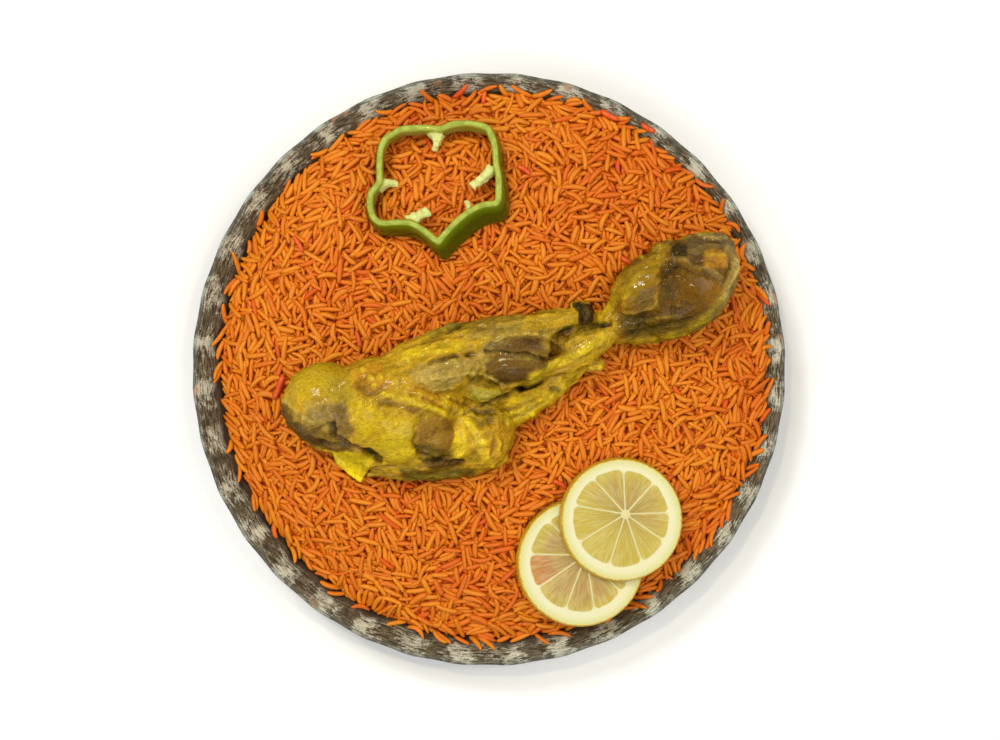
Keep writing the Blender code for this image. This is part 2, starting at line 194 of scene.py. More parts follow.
def makePits():
    # height of a pebbled skin: cells of a size with pits between them
    inputs = (("Vector", "NodeSocketVector", None), ("Size mm", "NodeSocketFloat", 1.0))
    group, enter, leave = newGroup("pits", inputs, (("Height", "NodeSocketFloat"),))
    nodes, links = group.nodes, group.links
    cells = nodes.new("ShaderNodeTexVoronoi")
    cells.feature = "SMOOTH_F1"
    links.new(enter.outputs["Vector"], cells.inputs["Vector"])
    links.new(scaleFrom(group, enter.outputs["Size mm"]), cells.inputs["Scale"])
    rise = nodes.new("ShaderNodeMath")
    rise.operation = "SUBTRACT"
    rise.inputs[0].default_value = 1
    links.new(cells.outputs["Distance"], rise.inputs[1])
    links.new(rise.outputs[0], leave.inputs["Height"])
    return group


blotches = makeBlotches()
pits = makePits()


class Look:
    # a material under construction: short calls that add and join nodes
    def __init__(self, name, roughness, **sockets):
        self.material = bpy.data.materials.new(name)
        self.material.use_nodes = True
        self.nodes = self.material.node_tree.nodes
        self.links = self.material.node_tree.links
        self.shader = self.nodes["Principled BSDF"]
        self.shader.inputs["Roughness"].default_value = roughness
        for label, value in sockets.items():
            self.shader.inputs[label.replace("_", " ")].default_value = value
        self.place = self.nodes.new("ShaderNodeTexCoord").outputs["Object"]

    def put(self, value, socket):
        if isinstance(value, bpy.types.NodeSocket):
            self.links.new(value, socket)
        elif isinstance(value, tuple) and len(value) == 3 and socket.type == "RGBA":
            socket.default_value = (*value, 1)
        else:
            socket.default_value = value

    def attribute(self, name, output="Fac"):
        node = self.nodes.new("ShaderNodeAttribute")
        node.attribute_name = name
        return node.outputs[output]

    def blotch(self, size, start, end, detail=3.0, source=None):
        node = self.nodes.new("ShaderNodeGroup")
        node.node_tree = blotches
        self.links.new(source or self.place, node.inputs["Vector"])
        for label, value in (("Size mm", size), ("Detail", detail), ("Start", start), ("End", end)):
            node.inputs[label].default_value = value
        return node.outputs["Mask"]

    def pitted(self, size, source=None):
        node = self.nodes.new("ShaderNodeGroup")
        node.node_tree = pits
        self.links.new(source or self.place, node.inputs["Vector"])
        node.inputs["Size mm"].default_value = size
        return node.outputs["Height"]

    def mix(self, amount, first, second, kind="MIX"):
        node = self.nodes.new("ShaderNodeMix")
        node.data_type = "RGBA"
        node.blend_type = kind
        self.put(amount, node.inputs[0])
        self.put(first, node.inputs[6])
        self.put(second, node.inputs[7])
        return node.outputs[2]

    def math(self, kind, first, second):
        node = self.nodes.new("ShaderNodeMath")
        node.operation = kind
        self.put(first, node.inputs[0])
        self.put(second, node.inputs[1])
        return node.outputs[0]

    def times(self, first, second):
        return self.math("MULTIPLY", first, second)

    def plus(self, first, second):
        return self.math("ADD", first, second)

    def step(self, value, start, end):
        node = self.nodes.new("ShaderNodeMapRange")
        node.interpolation_type = "SMOOTHSTEP"
        self.put(value, node.inputs["Value"])
        node.inputs["From Min"].default_value = start
        node.inputs["From Max"].default_value = end
        return node.outputs["Result"]

    def between(self, value, low, high):
        node = self.nodes.new("ShaderNodeMapRange")
        self.put(value, node.inputs["Value"])
        node.inputs["To Min"].default_value = low
        node.inputs["To Max"].default_value = high
        return node.outputs["Result"]

    def colour(self, value):
        self.put(value, self.shader.inputs["Base Color"])

    def roughness(self, value):
        self.put(value, self.shader.inputs["Roughness"])

    def bump(self, height, depth, strength):
        # depth in millimetres
        node = self.nodes.new("ShaderNodeBump")
        node.inputs["Strength"].default_value = strength
        node.inputs["Distance"].default_value = depth * mm
        self.links.new(height, node.inputs["Height"])
        self.links.new(node.outputs["Normal"], self.shader.inputs["Normal"])


def rgb(red, green, blue):
    # a colour as seen on a screen, 0 to 255, as the linear one that nodes take
    shares = (channel / 255 for channel in (red, green, blue))
    return tuple(s / 12.92 if s <= 0.04045 else ((s + 0.055) / 1.055) ** 2.4 for s in shares)


# Tray

tray = {
    "floorRadius": 117 * mm,
    "edgeRadius": 140 * mm,
    "height": 26 * mm,
    "sheet": 1.2 * mm,
    "flutes": 36,
    "fluteDepth": 1.1 * mm,
    "edgeFlute": 0.22,  # share of that depth left at the edge
    "fluteTurn": math.radians(4.5),
    "fluteLift": 0.3,  # how much of a flute's swing the edge also goes up
    "pointsAFlute": 14,
    # the outside above the floor: radius past the floor's, height, share of the flutes' depth
    "wallRows": ((4.5 * mm, 1.2 * mm, 0.1), (9 * mm, 5 * mm, 0.5), (17.5 * mm, 18.5 * mm, 1)),
    "rowSteps": 4,
    "edgeDrop": 0.4 * mm,
    "inside": 1.5,  # the inner side lies this many sheets from the outer one, with room for the lean
    "lapRadius": 0.034,  # the circle that the rubbed pattern is laid round, in metres
    # rubbed silver, also painted as a highlight on each flute's outward swing
    "silverAndHighlight": rgb(222, 230, 208),
    "dull": rgb(124, 118, 92),
    "tarnish": rgb(58, 52, 38),
    "wall": rgb(92, 76, 60),
    "wallDark": rgb(58, 47, 36),
    "edge": rgb(70, 62, 48),
    "copper": rgb(170, 118, 80),
}


def trayProfile():
    # radius, height and share of the flutes' depth along the outside, middle to edge
    floor, flute = tray["floorRadius"], tray["edgeFlute"]
    rows = [(0, 0, 0), (floor, 0, 0)]
    rows += [(floor + out, height, share) for out, height, share in tray["wallRows"]]
    rows.append((tray["edgeRadius"] - tray["fluteDepth"] * flute, tray["height"] - tray["edgeDrop"], flute))
    return rows


def wallAt(height):
    # mean radius of the outside at a height, and the flutes' depth there
    rows = np.array(trayProfile()[1:])
    flute = np.interp(height, rows[:, 1], rows[:, 2]) * tray["fluteDepth"]
    return np.interp(height, rows[:, 1], rows[:, 0]), flute


def makeTrayLook():
    look = Look("agedMetal", 0.42, Metallic=0.15)
    bulge = look.attribute("flute")  # 1 where the wall swings out, 0 where it swings in
    rise = look.attribute("rise")  # 0 at the floor, 1 at the edge
    lap = look.attribute("lap", "Vector")  # along the edge and up the wall
    uneven = look.between(look.blotch(9.0, 0.3, 0.7, 2), -0.05, 0.05)
    upper = look.step(look.plus(rise, uneven), 0.52, 0.7)
    patch = look.blotch(5.0, 0.34, 0.66, 3)
    streak = look.blotch(1.1, 0.4, 0.6, 4, lap)
    speck = look.blotch(0.8, 0.42, 0.58, 3)
    # painted highlight: each flute's outward swing is painted bright silver, together with the rubbed
    # patches and streaks of real wear
    brightAndHighlight = look.plus(look.times(bulge, 0.8), look.times(patch, 0.55))
    brightAndHighlight = look.plus(brightAndHighlight, look.times(streak, 0.45))
    brightAndHighlight = look.step(look.math("SUBTRACT", brightAndHighlight, look.times(speck, 0.3)), 0.52, 1.5)
    wall = look.mix(look.blotch(4.0, 0.35, 0.65, 3, lap), tray["wall"], tray["wallDark"])
    rim = look.mix(look.between(streak, 0.1, 0.9), tray["tarnish"], tray["dull"])
    rim = look.mix(look.times(speck, 0.35), rim, tray["tarnish"])
    rim = look.mix(brightAndHighlight, rim, tray["silverAndHighlight"])
    metal = look.mix(upper, wall, rim)
    edge = look.step(rise, 0.955, 0.985)
    rub = look.times(look.step(rise, 0.86, 0.95), look.blotch(13.0, 0.63, 0.68, 2))
    metal = look.mix(look.times(edge, 0.6), metal, tray["edge"])
    look.colour(look.mix(look.times(rub, 0.6), metal, tray["copper"]))
    look.roughness(look.between(streak, 0.52, 0.32))
    relief = look.plus(streak, look.times(patch, 1.2))
    look.bump(relief, 0.22, 0.5)
    return look.material


def makeTray():
    rows = [Vector((r, 0, z)) for r, z, _ in trayProfile()]
    line = rows[:2]
    steps = tray["rowSteps"]
    for start, end in zip(rows[1:], rows[2:]):
        line += [start.lerp(end, step / steps) for step in range(1, steps + 1)]
    bm = spun(line, tray["flutes"] * tray["pointsAFlute"], 0.01 * mm)
    if sum(face.normal.z * face.calc_area() for face in bm.faces) < 0:
        bmesh.ops.reverse_faces(bm, faces=bm.faces)
    for vert in bm.verts:
        x, y, z = vert.co
        if math.hypot(x, y) <= tray["floorRadius"]:
            continue
        wave = math.cos(tray["flutes"] * math.atan2(y, x))
        swing = float(wallAt(z)[1]) * wave
        vert.co += Vector((x, y, 0)).normalized() * swing
        vert.co.z += swing * tray["fluteLift"] * z / tray["height"]
    turn = Matrix.Rotation(tray["fluteTurn"], 3, "Z")
    bmesh.ops.rotate(bm, cent=(0, 0, 0), matrix=turn, verts=bm.verts)
    piece = pieceFrom(bm, "trayMetal", [makeTrayLook()])
    sheet = piece.modifiers.new("sheet", "SOLIDIFY")
    sheet.thickness = tray["sheet"]
    sheet.offset = 1
    finishWithModifiers(piece)
    points = pointsOf(piece.data)
    angle = np.arctan2(points[:, 1], points[:, 0]) - tray["fluteTurn"]
    keepValues(piece.data, "flute", 0.5 + 0.5 * np.cos(tray["flutes"] * angle))
    keepValues(piece.data, "rise", points[:, 2] / tray["height"])
    radius = np.hypot(points[:, 0], points[:, 1])
    around = np.stack((np.cos(angle), np.sin(angle)), axis=1) * tray["lapRadius"]
    keepVectors(piece.data, "lap", np.column_stack((around, radius + points[:, 2])))
    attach(piece, "root")
    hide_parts("tray")
    print("tray done", len(piece.data.polygons))


# Rice: the heap's shape, the core and the loose grains

heap = {
    "top": 28 * mm,
    "edge": 16 * mm,
    "edgeSwing": 3.8 * mm,
    "lowSide": math.radians(212),
    "shoulder": 8,
    "gap": 0.35 * mm,
    "coreDepth": 3.2 * mm,  # how far the core lies under the heap's mean surface
    "probe": 0.1,  # radius where the edge's radius is read for a direction
    "coreRings": 60,
    "coreSpokes": 180,
    "coreRise": (0.6, 12),  # how much nearer the surface the core's edge is, and how late it rises
    "coreRough": (0.5 * mm, 4 * mm),  # height and length of its bumps
    "coreUnder": 0.5 * mm,  # room left under a topping
    "footIn": 2 * mm,
    "coreColour": rgb(236, 108, 6),
    "coreDark": rgb(206, 78, 2),
}

grain = {
    "length": (10.6 * mm, 1.5 * mm),  # mean and spread
    "shortest": 5.5 * mm,
    "longest": 13.4 * mm,
    "radius": (1.25 * mm, 0.12 * mm),
    "taper": 3.8,  # higher is blunter
    "closing": 0.98,  # how far the width closes at the ends
    "sharper": 0.1,  # how much slimmer one end is, and fuller the other
    "bend": 0.75 * mm,
    "bendZero": 0.35,  # keeps a bent grain where it was laid, on average
    "bendUp": 0.25,  # share of the bend that goes up or down
    "flat": 0.95,  # height of a grain against its width
    "uneven": 0.05,  # spread of both
    "sides": 6,
    "rings": 6,
    "nestle": 0.55,  # share of the radius that keeps other grains away
    "cell": 0.4 * mm,
    "tries": 200,  # grains in a batch, and how many of them may stay
    "kept": 10,
    "gridHalf": 141 * mm,
    "rimFree": 2.5 * mm,  # no grain lies this near the tray's edge
    "apart": 12 * mm,  # between grains of one batch
    "slopeCost": 0.15,  # how much a steep pose counts against a place
    "coveredBy": 6 * mm,  # no grain is poured where a topping is this deep in the rice
    "outOfReach": 1.0,  # a height in metres that no grain comes to
    "never": 1.0,  # a place's worth when no grain can lie there; real ones are far below
    "perPiece": 2500,
    "seed": 11,
    "yellow": rgb(224, 136, 20),
    "orange": rgb(212, 105, 8),
    "red": rgb(210, 84, 4),
    "redShare": 0.014,
    "tint": (0.25, 0.16),  # mean and spread: 0 is yellow, 0.5 orange, 1 red
    "tintDrift": 0.25,
    # rounds of pouring: how many, how far a grain may stand over the heap's mean surface, how
    # steep it may lie, from what share of the edge's radius, how far past the edge, whether the
    # lowest places are filled first, and how far grains turn from pointing outward
    "pours": (
        (2300, 1.6 * mm, 0.6, 0, 0.5 * mm, True, 180),
        (80, 3 * mm, 0.35, 0, 0, False, 180),
        (130, 3.6 * mm, 0.9, 0.95, 2.2 * mm, False, 75),
    ),
}


carrot = {
    # ends, width and how far the second end stands up, millimetres
    "shreds": (
        ((-17.1, 128.7), (-9.8, 134.2), 2.8, 6),
        ((-1.9, 132.4), (-2.8, 125.8), 2.4, 0),
        ((52.7, 122.4), (61.4, 117.8), 2.8, 1),
        ((71.7, 116), (78.6, 111.8), 2.6, 0),
        ((13.2, 95.5), (19.8, 91.3), 2.4, 0.6),
        ((61.7, 52.3), (69.2, 48.5), 2.6, 0),
        ((-96.3, -2.3), (-101, -14.6), 3.4, 0),
        ((-92, 63), (-87, 55), 2.4, 0.8),
        ((30, -52), (37, -56), 2.4, 0),
    ),
    "tallest": 60 * mm,  # higher than any place where a shred can lie
    "sunk": 0.4,  # height of the middle over the rice, as a share of the radius
    "colour": rgb(222, 90, 14),
    "deep": rgb(208, 72, 6),
}


def heapEdge(angle):
    # radius and height of the heap's edge
    height = heap["edge"] - heap["edgeSwing"] * np.cos(angle - heap["lowSide"])
    radius, flute = wallAt(height)
    return radius - flute - tray["sheet"] * tray["inside"] - heap["gap"], height


def heapHeights(x, y):
    # the heap's mean surface over arrays of places, and its edge's radius there
    edgeRadius, height = heapEdge(np.arctan2(y, x))
    share = np.minimum(np.hypot(x, y) / edgeRadius, 1)
    return height + (heap["top"] - height) * (1 - share ** heap["shoulder"]), edgeRadius


def heapAt(x, y):
    return float(heapHeights(np.array(x), np.array(y))[0])


class RiceGrid:
    # heights on a square grid over the tray: what a grain can rest on, and what is over it
    def __init__(self, toppings):
        self.cell = grain["cell"]
        self.half = grain["gridHalf"]
        self.count = int(2 * self.half / self.cell)
        line = (np.arange(self.count) + 0.5) * self.cell - self.half
        self.x, self.y = np.meshgrid(line, line, indexing="ij")
        self.mean, self.edgeRadius = heapHeights(self.x, self.y)
        radius = np.hypot(self.x, self.y)
        rows = np.array(trayProfile()[1:])
        inside = np.interp(radius + tray["sheet"] * tray["inside"], rows[:, 0], rows[:, 1])
        self.surface = np.maximum(self.mean - heap["coreDepth"], inside)
        self.surface[radius > tray["edgeRadius"] - grain["rimFree"]] = grain["outOfReach"]
        self.mean = np.maximum(self.mean, inside)
        self.ceiling = np.full_like(self.surface, grain["outOfReach"])
        for piece in toppings:
            self.addCeiling(piece)

    def index(self, x, y):
        i = np.clip(((x + self.half) / self.cell).astype(int), 0, self.count - 1)
        j = np.clip(((y + self.half) / self.cell).astype(int), 0, self.count - 1)
        return i, j

    def addCeiling(self, piece):
        tree = treeOf(piece)
        points = pointsOf(piece.data)
        low = self.index(points[:, 0].min(), points[:, 1].min())
        high = self.index(points[:, 0].max(), points[:, 1].max())
        up = Vector((0, 0, 1))
        for i in range(low[0], high[0] + 1):
            for j in range(low[1], high[1] + 1):
                hit = tree.ray_cast(Vector((self.x[i, j], self.y[i, j], 0)), up)[0]
                if hit:
                    self.ceiling[i, j] = min(self.ceiling[i, j], hit.z)

    def cleared(self):
        # a topping's underside also keeps the grains' room at its rim
        roof = self.ceiling.copy()
        for di in (-1, 0, 1):
            for dj in (-1, 0, 1):
                roof = np.minimum(roof, np.roll(np.roll(self.ceiling, di, 0), dj, 1))
        return roof - heap["gap"]


def grainWidth(along):
    return np.sqrt(1 - np.abs(along) ** grain["taper"] * grain["closing"])


def restOnGrid(grid, roof, over, steepest, x, y, turn, half, radius):
    # poses of many grains at once: height of the middle, slope, and how good each place is;
    # each is tried at nine places along it, number 4 in the middle, and three across
    along = np.linspace(-1, 1, 9)
    aside = np.array((-0.75, 0, 0.75))
    width = radius[:, None] * grainWidth(along)[None, :]
    dx, dy = np.cos(turn), np.sin(turn)
    px = x[:, None, None] + (half * dx)[:, None, None] * along[None, :, None]
    px = px - dy[:, None, None] * width[:, :, None] * aside
    py = y[:, None, None] + (half * dy)[:, None, None] * along[None, :, None]
    py = py + dx[:, None, None] * width[:, :, None] * aside
    i, j = grid.index(px, py)
    lift = width[:, :, None] * grain["nestle"] * np.sqrt(1 - aside**2)
    need = (grid.surface[i, j] + lift).max(axis=2)
    left, right = np.arange(4), np.arange(5, 9)
    tl, tr = along[left][None, :, None], along[right][None, None, :]
    atMiddle = (need[:, left, None] * tr - need[:, None, right] * tl) / (tr - tl)
    slopes = (need[:, None, right] - need[:, left, None]) / (tr - tl)
    flatMiddle = atMiddle.reshape(len(x), -1)
    best = flatMiddle.argmax(axis=1)
    rows = np.arange(len(x))
    bridged = flatMiddle[rows, best]
    slope = slopes.reshape(len(x), -1)[rows, best]
    pivot = need[:, 4] > bridged
    least = ((need[:, 5:] - need[:, 4:5]) / along[5:]).max(axis=1)
    most = ((need[:, :4] - need[:, 4:5]) / along[:4]).min(axis=1)
    slope = np.where(pivot, np.clip(0, least, most), slope)
    middle = np.where(pivot, need[:, 4], bridged)
    line = middle[:, None] + slope[:, None] * along[None, :]
    top = line + width
    blocked = (top[:, :, None] > roof[i, j]).any(axis=(1, 2))
    stand = (line + radius[:, None] - grid.mean[i, j][:, :, 1]).max(axis=1)
    bad = blocked | (stand > over) | (np.abs(slope) > half * steepest)
    depth = middle - grid.mean[i[:, 4, 1], j[:, 4, 1]]
    worth = np.where(bad, grain["never"], depth + grain["slopeCost"] * np.abs(slope))
    return middle, slope, worth


def settle(grid, x, y, z, turn, slope, half, radius):
    # raises the grid under a grain that has come to rest
    reach = half + radius
    i0, j0 = grid.index(np.array(x - reach), np.array(y - reach))
    i1, j1 = grid.index(np.array(x + reach), np.array(y + reach))
    block = (slice(int(i0), int(i1) + 1), slice(int(j0), int(j1) + 1))
    dx, dy = grid.x[block] - x, grid.y[block] - y
    t = (dx * math.cos(turn) + dy * math.sin(turn)) / half
    s = -dx * math.sin(turn) + dy * math.cos(turn)
    width2 = (radius * grain["nestle"] * grainWidth(np.clip(t, -1, 1))) ** 2
    inside = (np.abs(t) <= 1) & (s**2 < width2)
    top = z + slope * t + np.sqrt(np.maximum(width2 - s**2, 0))
    grid.surface[block] = np.where(inside, np.maximum(grid.surface[block], top), grid.surface[block])


def pourRice(grid, rng):
    # drops grains a batch at a time and keeps those that find the best places
    roof = grid.cleared()
    hidden = roof < grid.mean - grain["coveredBy"]
    laid = []
    for rounds, over, steepest, start, past, lowestFirst, spread in grain["pours"]:
        for batch in range(rounds):
            count = grain["tries"]
            radial = np.sqrt(rng.uniform(start**2, 1, count))
            angle = rng.uniform(0, math.tau, count)
            x, y = np.cos(angle), np.sin(angle)
            i, j = grid.index(x * heap["probe"], y * heap["probe"])
            edge = grid.edgeRadius[i, j] + past
            x, y = x * edge * radial, y * edge * radial
            turn = angle + np.radians(rng.uniform(-spread, spread, count))
            half = np.clip(rng.normal(*grain["length"], count), grain["shortest"], grain["longest"]) / 2
            radius = rng.normal(*grain["radius"], count)
            z, slope, worth = restOnGrid(grid, roof, over, steepest, x, y, turn, half, radius)
            i, j = grid.index(x, y)
            worth[hidden[i, j]] = grain["never"]
            free = worth < grain["never"] / 2
            order = np.argsort(worth) if lowestFirst else np.flatnonzero(free)
            taken = []
            for k in order[: grain["kept"] * 3]:
                if not free[k] or len(taken) >= grain["kept"]:
                    break
                if any(math.hypot(x[k] - x[m], y[k] - y[m]) < grain["apart"] for m in taken):
                    continue
                taken.append(k)
                settle(grid, x[k], y[k], z[k], turn[k], slope[k], half[k], radius[k])
                laid.append((x[k], y[k], z[k], turn[k], slope[k], half[k], radius[k]))
        print("rice poured", len(laid))
    return np.array(laid)


def grainShape():
    # one grain lying along X, from -1 to 1, with a radius of 1
    bm = bmesh.new()
    bmesh.ops.create_uvsphere(bm, u_segments=grain["sides"], v_segments=grain["rings"] + 1, radius=1)
    bmesh.ops.rotate(bm, cent=(0, 0, 0), matrix=Matrix.Rotation(math.pi / 2, 3, "Y"), verts=bm.verts)
    for vert in bm.verts:
        along = vert.co.x
        around = math.hypot(vert.co.y, vert.co.z)
        if around > 1e-5:
            full = grainWidth(along) * (1 - grain["sharper"] * along)
            vert.co.y *= full / around
            vert.co.z *= full / around
    bmesh.ops.recalc_face_normals(bm, faces=bm.faces)
    mesh = bpy.data.meshes.new("grainShape")
    bm.to_mesh(mesh)
    bm.free()
    return mesh


def makeRiceLook():
    look = Look(
        "orangeRice", 0.5, Subsurface_Weight=0.2, Subsurface_Scale=1 * mm,
        Subsurface_Radius=(1.0, 0.5, 0.2), Specular_IOR_Level=0.3,
    )
    tint = look.attribute("tint")
    warm = look.mix(look.times(tint, 2.0), grain["yellow"], grain["orange"])
    red = look.math("MAXIMUM", look.math("SUBTRACT", look.times(tint, 2.0), 1.0), 0.0)
    body = look.mix(red, warm, grain["red"])
    stain = look.blotch(1.6, 0.45, 0.7, 3)
    look.colour(look.mix(look.times(stain, 0.25), body, grain["red"]))
    look.roughness(look.between(look.blotch(2.5, 0.4, 0.6, 2), 0.42, 0.58))
    groove = look.blotch(0.7, 0.3, 0.7, 2)
    look.bump(groove, 0.12, 0.5)
    return look.material


def grainPiece(name, laid, shape, look, rng, tint):
    # joins one shape many times, each at its own pose
    base = pointsOf(shape)
    faces = [tuple(p.vertices) for p in shape.polygons]
    count = len(laid)
    x, y, z, turn, slope, half, radius = (column[:, None] for column in laid.T)
    along, side, up = base[:, 0][None], base[:, 1][None], base[:, 2][None]
    roll = rng.uniform(0, math.tau, (count, 1))
    bend = rng.normal(0, 1, (count, 1)) * grain["bend"] * (along**2 - grain["bendZero"])
    across = side * radius * rng.normal(1, grain["uneven"], (count, 1)) + bend
    height = up * radius * rng.normal(grain["flat"], grain["uneven"], (count, 1))
    height = height + bend * grain["bendUp"] * np.sin(roll)
    flat = half * along
    points = np.stack(
        (
            x + flat * np.cos(turn) - across * np.sin(turn),
            y + flat * np.sin(turn) + across * np.cos(turn),
            z + slope * along + height,
        ),
        axis=2,
    ).reshape(-1, 3)
    corners = len(base)
    loops = np.array([v for face in faces for v in face])
    sizes = np.array([len(face) for face in faces])
    allLoops = (loops[None] + np.arange(count)[:, None] * corners).ravel()
    allSizes = np.tile(sizes, count)
    mesh = bpy.data.meshes.new(name)
    mesh.vertices.add(len(points))
    mesh.vertices.foreach_set("co", points.astype(np.float32).ravel())
    mesh.loops.add(len(allLoops))
    mesh.loops.foreach_set("vertex_index", allLoops.astype(np.int32))
    mesh.polygons.add(len(allSizes))
    starts = np.concatenate(([0], np.cumsum(allSizes)[:-1]))
    mesh.polygons.foreach_set("loop_start", starts.astype(np.int32))
    mesh.update(calc_edges=True)
    mesh.validate()
    mesh.shade_smooth()
    keepValues(mesh, "tint", np.repeat(tint, corners))
    mesh.materials.append(look)
    piece = bpy.data.objects.new(name, mesh)
    scene.collection.objects.link(piece)
    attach(piece, "root")
    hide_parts("rice_heap")


def makeRiceCore(roof, grid):
    # a dark bed under the loose grains, down to the tray's floor
    look = Look("riceBed", 0.6)
    look.colour(look.mix(look.blotch(3.0, 0.4, 0.6), heap["coreColour"], heap["coreDark"]))
    line = [Vector((k / heap["coreRings"], 0, 0)) for k in range(heap["coreRings"] + 1)]
    bm = spun(line, heap["coreSpokes"], 0.1 * mm)
    (rise, late), (high, long) = heap["coreRise"], heap["coreRough"]
    for vert in bm.verts:
        angle = math.atan2(vert.co.y, vert.co.x)
        share = math.hypot(vert.co.x, vert.co.y)
        radius = heapEdge(angle)[0] * share
        vert.co.x, vert.co.y = radius * math.cos(angle), radius * math.sin(angle)
        i, j = grid.index(np.array(vert.co.x), np.array(vert.co.y))
        height = grid.mean[i, j] - heap["coreDepth"] * (1 - rise * share**late)
        height += high * noise.noise(vert.co / long)
        vert.co.z = min(height, roof[i, j] - heap["coreUnder"])
    rim = [edge for edge in bm.edges if edge.is_boundary]
    pulled = bmesh.ops.extrude_edge_only(bm, edges=rim)
    foot = [item for item in pulled["geom"] if isinstance(item, bmesh.types.BMVert)]
    for vert in foot:
        flat = Vector((vert.co.x, vert.co.y, 0)).normalized() * (tray["floorRadius"] - heap["footIn"])
        vert.co = (flat.x, flat.y, tray["sheet"] + heap["gap"])
    bmesh.ops.contextual_create(bm, geom=[edge for edge in bm.edges if edge.is_boundary])
    bmesh.ops.recalc_face_normals(bm, faces=bm.faces)
    piece = pieceFrom(bm, "riceBed", [look.material])
    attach(piece, "root")
    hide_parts("rice_heap")


def makeRice(toppings):
    rng = np.random.default_rng(grain["seed"])
    grid = RiceGrid(toppings)
    roof = grid.cleared()
    makeRiceCore(roof, grid)
    laid = pourRice(grid, rng)
    print("grains", len(laid))
    shape = grainShape()
    tint = np.clip(rng.normal(*grain["tint"], len(laid)), 0, 0.8)
    tint[rng.uniform(0, 1, len(laid)) < grain["redShare"]] = 1.0
    broad = noiseAt(laid[:, :3], 45 * mm, 2)
    tint = np.clip(tint + broad * grain["tintDrift"], 0, 1)
    look = makeRiceLook()
    order = rng.permutation(len(laid))
    for number, start in enumerate(range(0, len(order), grain["perPiece"])):
        chosen = order[start : start + grain["perPiece"]]
        grainPiece(f"riceGrains.{number}", laid[chosen], shape, look, rng, tint[chosen])
    makeCarrot(grid, shape, rng)
    bpy.data.meshes.remove(shape)


def makeCarrot(grid, shape, rng):
    # shreds of carrot that lie on the rice
    look = Look("carrot", 0.42, Subsurface_Weight=0.4, Subsurface_Scale=2 * mm)
    look.colour(look.mix(look.blotch(1.8, 0.4, 0.6), carrot["colour"], carrot["deep"]))
    ends = np.array([start + end for start, end, _, _ in carrot["shreds"]]) * mm
    x, y = (ends[:, 0] + ends[:, 2]) / 2, (ends[:, 1] + ends[:, 3]) / 2
    dx, dy = ends[:, 2] - ends[:, 0], ends[:, 3] - ends[:, 1]
    turn, half = np.arctan2(dy, dx), np.hypot(dx, dy) / 2
    radius = np.array([wide for _, _, wide, _ in carrot["shreds"]]) * mm / 2
    slope = np.array([tilt for _, _, _, tilt in carrot["shreds"]]) * mm / 2
    along = np.linspace(-1, 1, 9)[None, :]
    i, j = grid.index(x[:, None] + dx[:, None] / 2 * along, y[:, None] + dy[:, None] / 2 * along)
    under = np.where(grid.surface[i, j] > carrot["tallest"], 0, grid.surface[i, j])
    z = (under - slope[:, None] * along).max(axis=1) + radius * carrot["sunk"]
    laid = np.stack((x, y, z, turn, slope, half, radius), axis=1)
    grainPiece("carrotShreds", laid, shape, look.material, rng, np.ones(len(laid)))


# Lemon slices

lemon = {
    "thick": 5.2 * mm,
    "taper": 1 * mm,
    "lean": math.radians(4.5),
    "leanSide": math.radians(46),
    "spokes": 400,
    "rings": 104,
    "sideRings": 10,
    "underRings": 12,
    "rindBulge": 0.35 * mm,
    "sink": 0.35 * mm,  # how far the pulp has sunk below the rind
    # where one thing fades into another: from and to
    "wallFade": (0.05 * mm, 0.55 * mm),  # pulp, from its segment's wall
    "hubFade": (1.6 * mm, 2.6 * mm),  # pulp, from the hub
    "webFade": (0.42 * mm, 0.1 * mm),  # membrane, from its middle
    "webEnd": (-0.4 * mm, 0.6 * mm),  # membrane, where it runs into the pith
    "hubWeb": (2.3 * mm, 1.5 * mm),  # the hub's own white
    "peelFade": (0.75 * mm, 0.1 * mm),
    "greenFade": (4.5 * mm, 0.5 * mm),  # greener pith toward the peel
    "tanFade": (-1 * mm, 9 * mm),
    "pinkFade": (15 * mm, 5 * mm),
    "wobble": (0.35, 5 * mm),  # of the pith's inner edge: depth in millimetres, and length
    "speckle": (0.5, 0.9 * mm),  # of the peel's edge, likewise
    "sacLength": 6 * mm,
    "sacsAround": 19,
    "rounding": (0.25 * mm, 0.5 * mm),  # of the cut face's outer edge: drop and width
    "cornerSize": 2.6 * mm,  # how round a segment's outer corners are
    "rind": rgb(212, 174, 44),
    "rindDeep": rgb(188, 150, 24),
    "pith": rgb(224, 220, 178),
    "pithGreen": rgb(208, 206, 130),
    "membrane": rgb(214, 202, 138),
    "juice": rgb(194, 174, 60),
    "tan": rgb(176, 142, 78),
    "pink": rgb(190, 104, 62),
}

lemonSlices = {
    "lemon_slice_lower": {
        "centre": (42.8 * mm, -90.6 * mm),
        "radius": 30.2 * mm,
        "hub": (2.3 * mm, 3.6 * mm),  # where the segments meet, from the slice's middle
        "pulp": (-0.2 * mm, 1.0 * mm),
        "pulpRadius": 23.9 * mm,
        "membranes": (20, 60, 98, 138, 179, 214, 249, 279, 313, 346),
        "tanShare": 0.8,
        "tanLean": 0.0,
        "pinkSegment": 4,
        "seed": 3,
    },
    "lemon_slice_upper": {
        "centre": (61.6 * mm, -70.2 * mm),
        "radius": 29 * mm,
        "hub": (1.6 * mm, 2.6 * mm),
        "pulp": (-0.5 * mm, 0.7 * mm),
        "pulpRadius": 22.6 * mm,
        "membranes": (2, 47, 92, 132, 170, 211, 252, 289, 325),
        "tanShare": 0.32,
        "tanLean": 1.0,  # browner towards the upper right
        "pinkSegment": None,
        "seed": 8,
    },
}


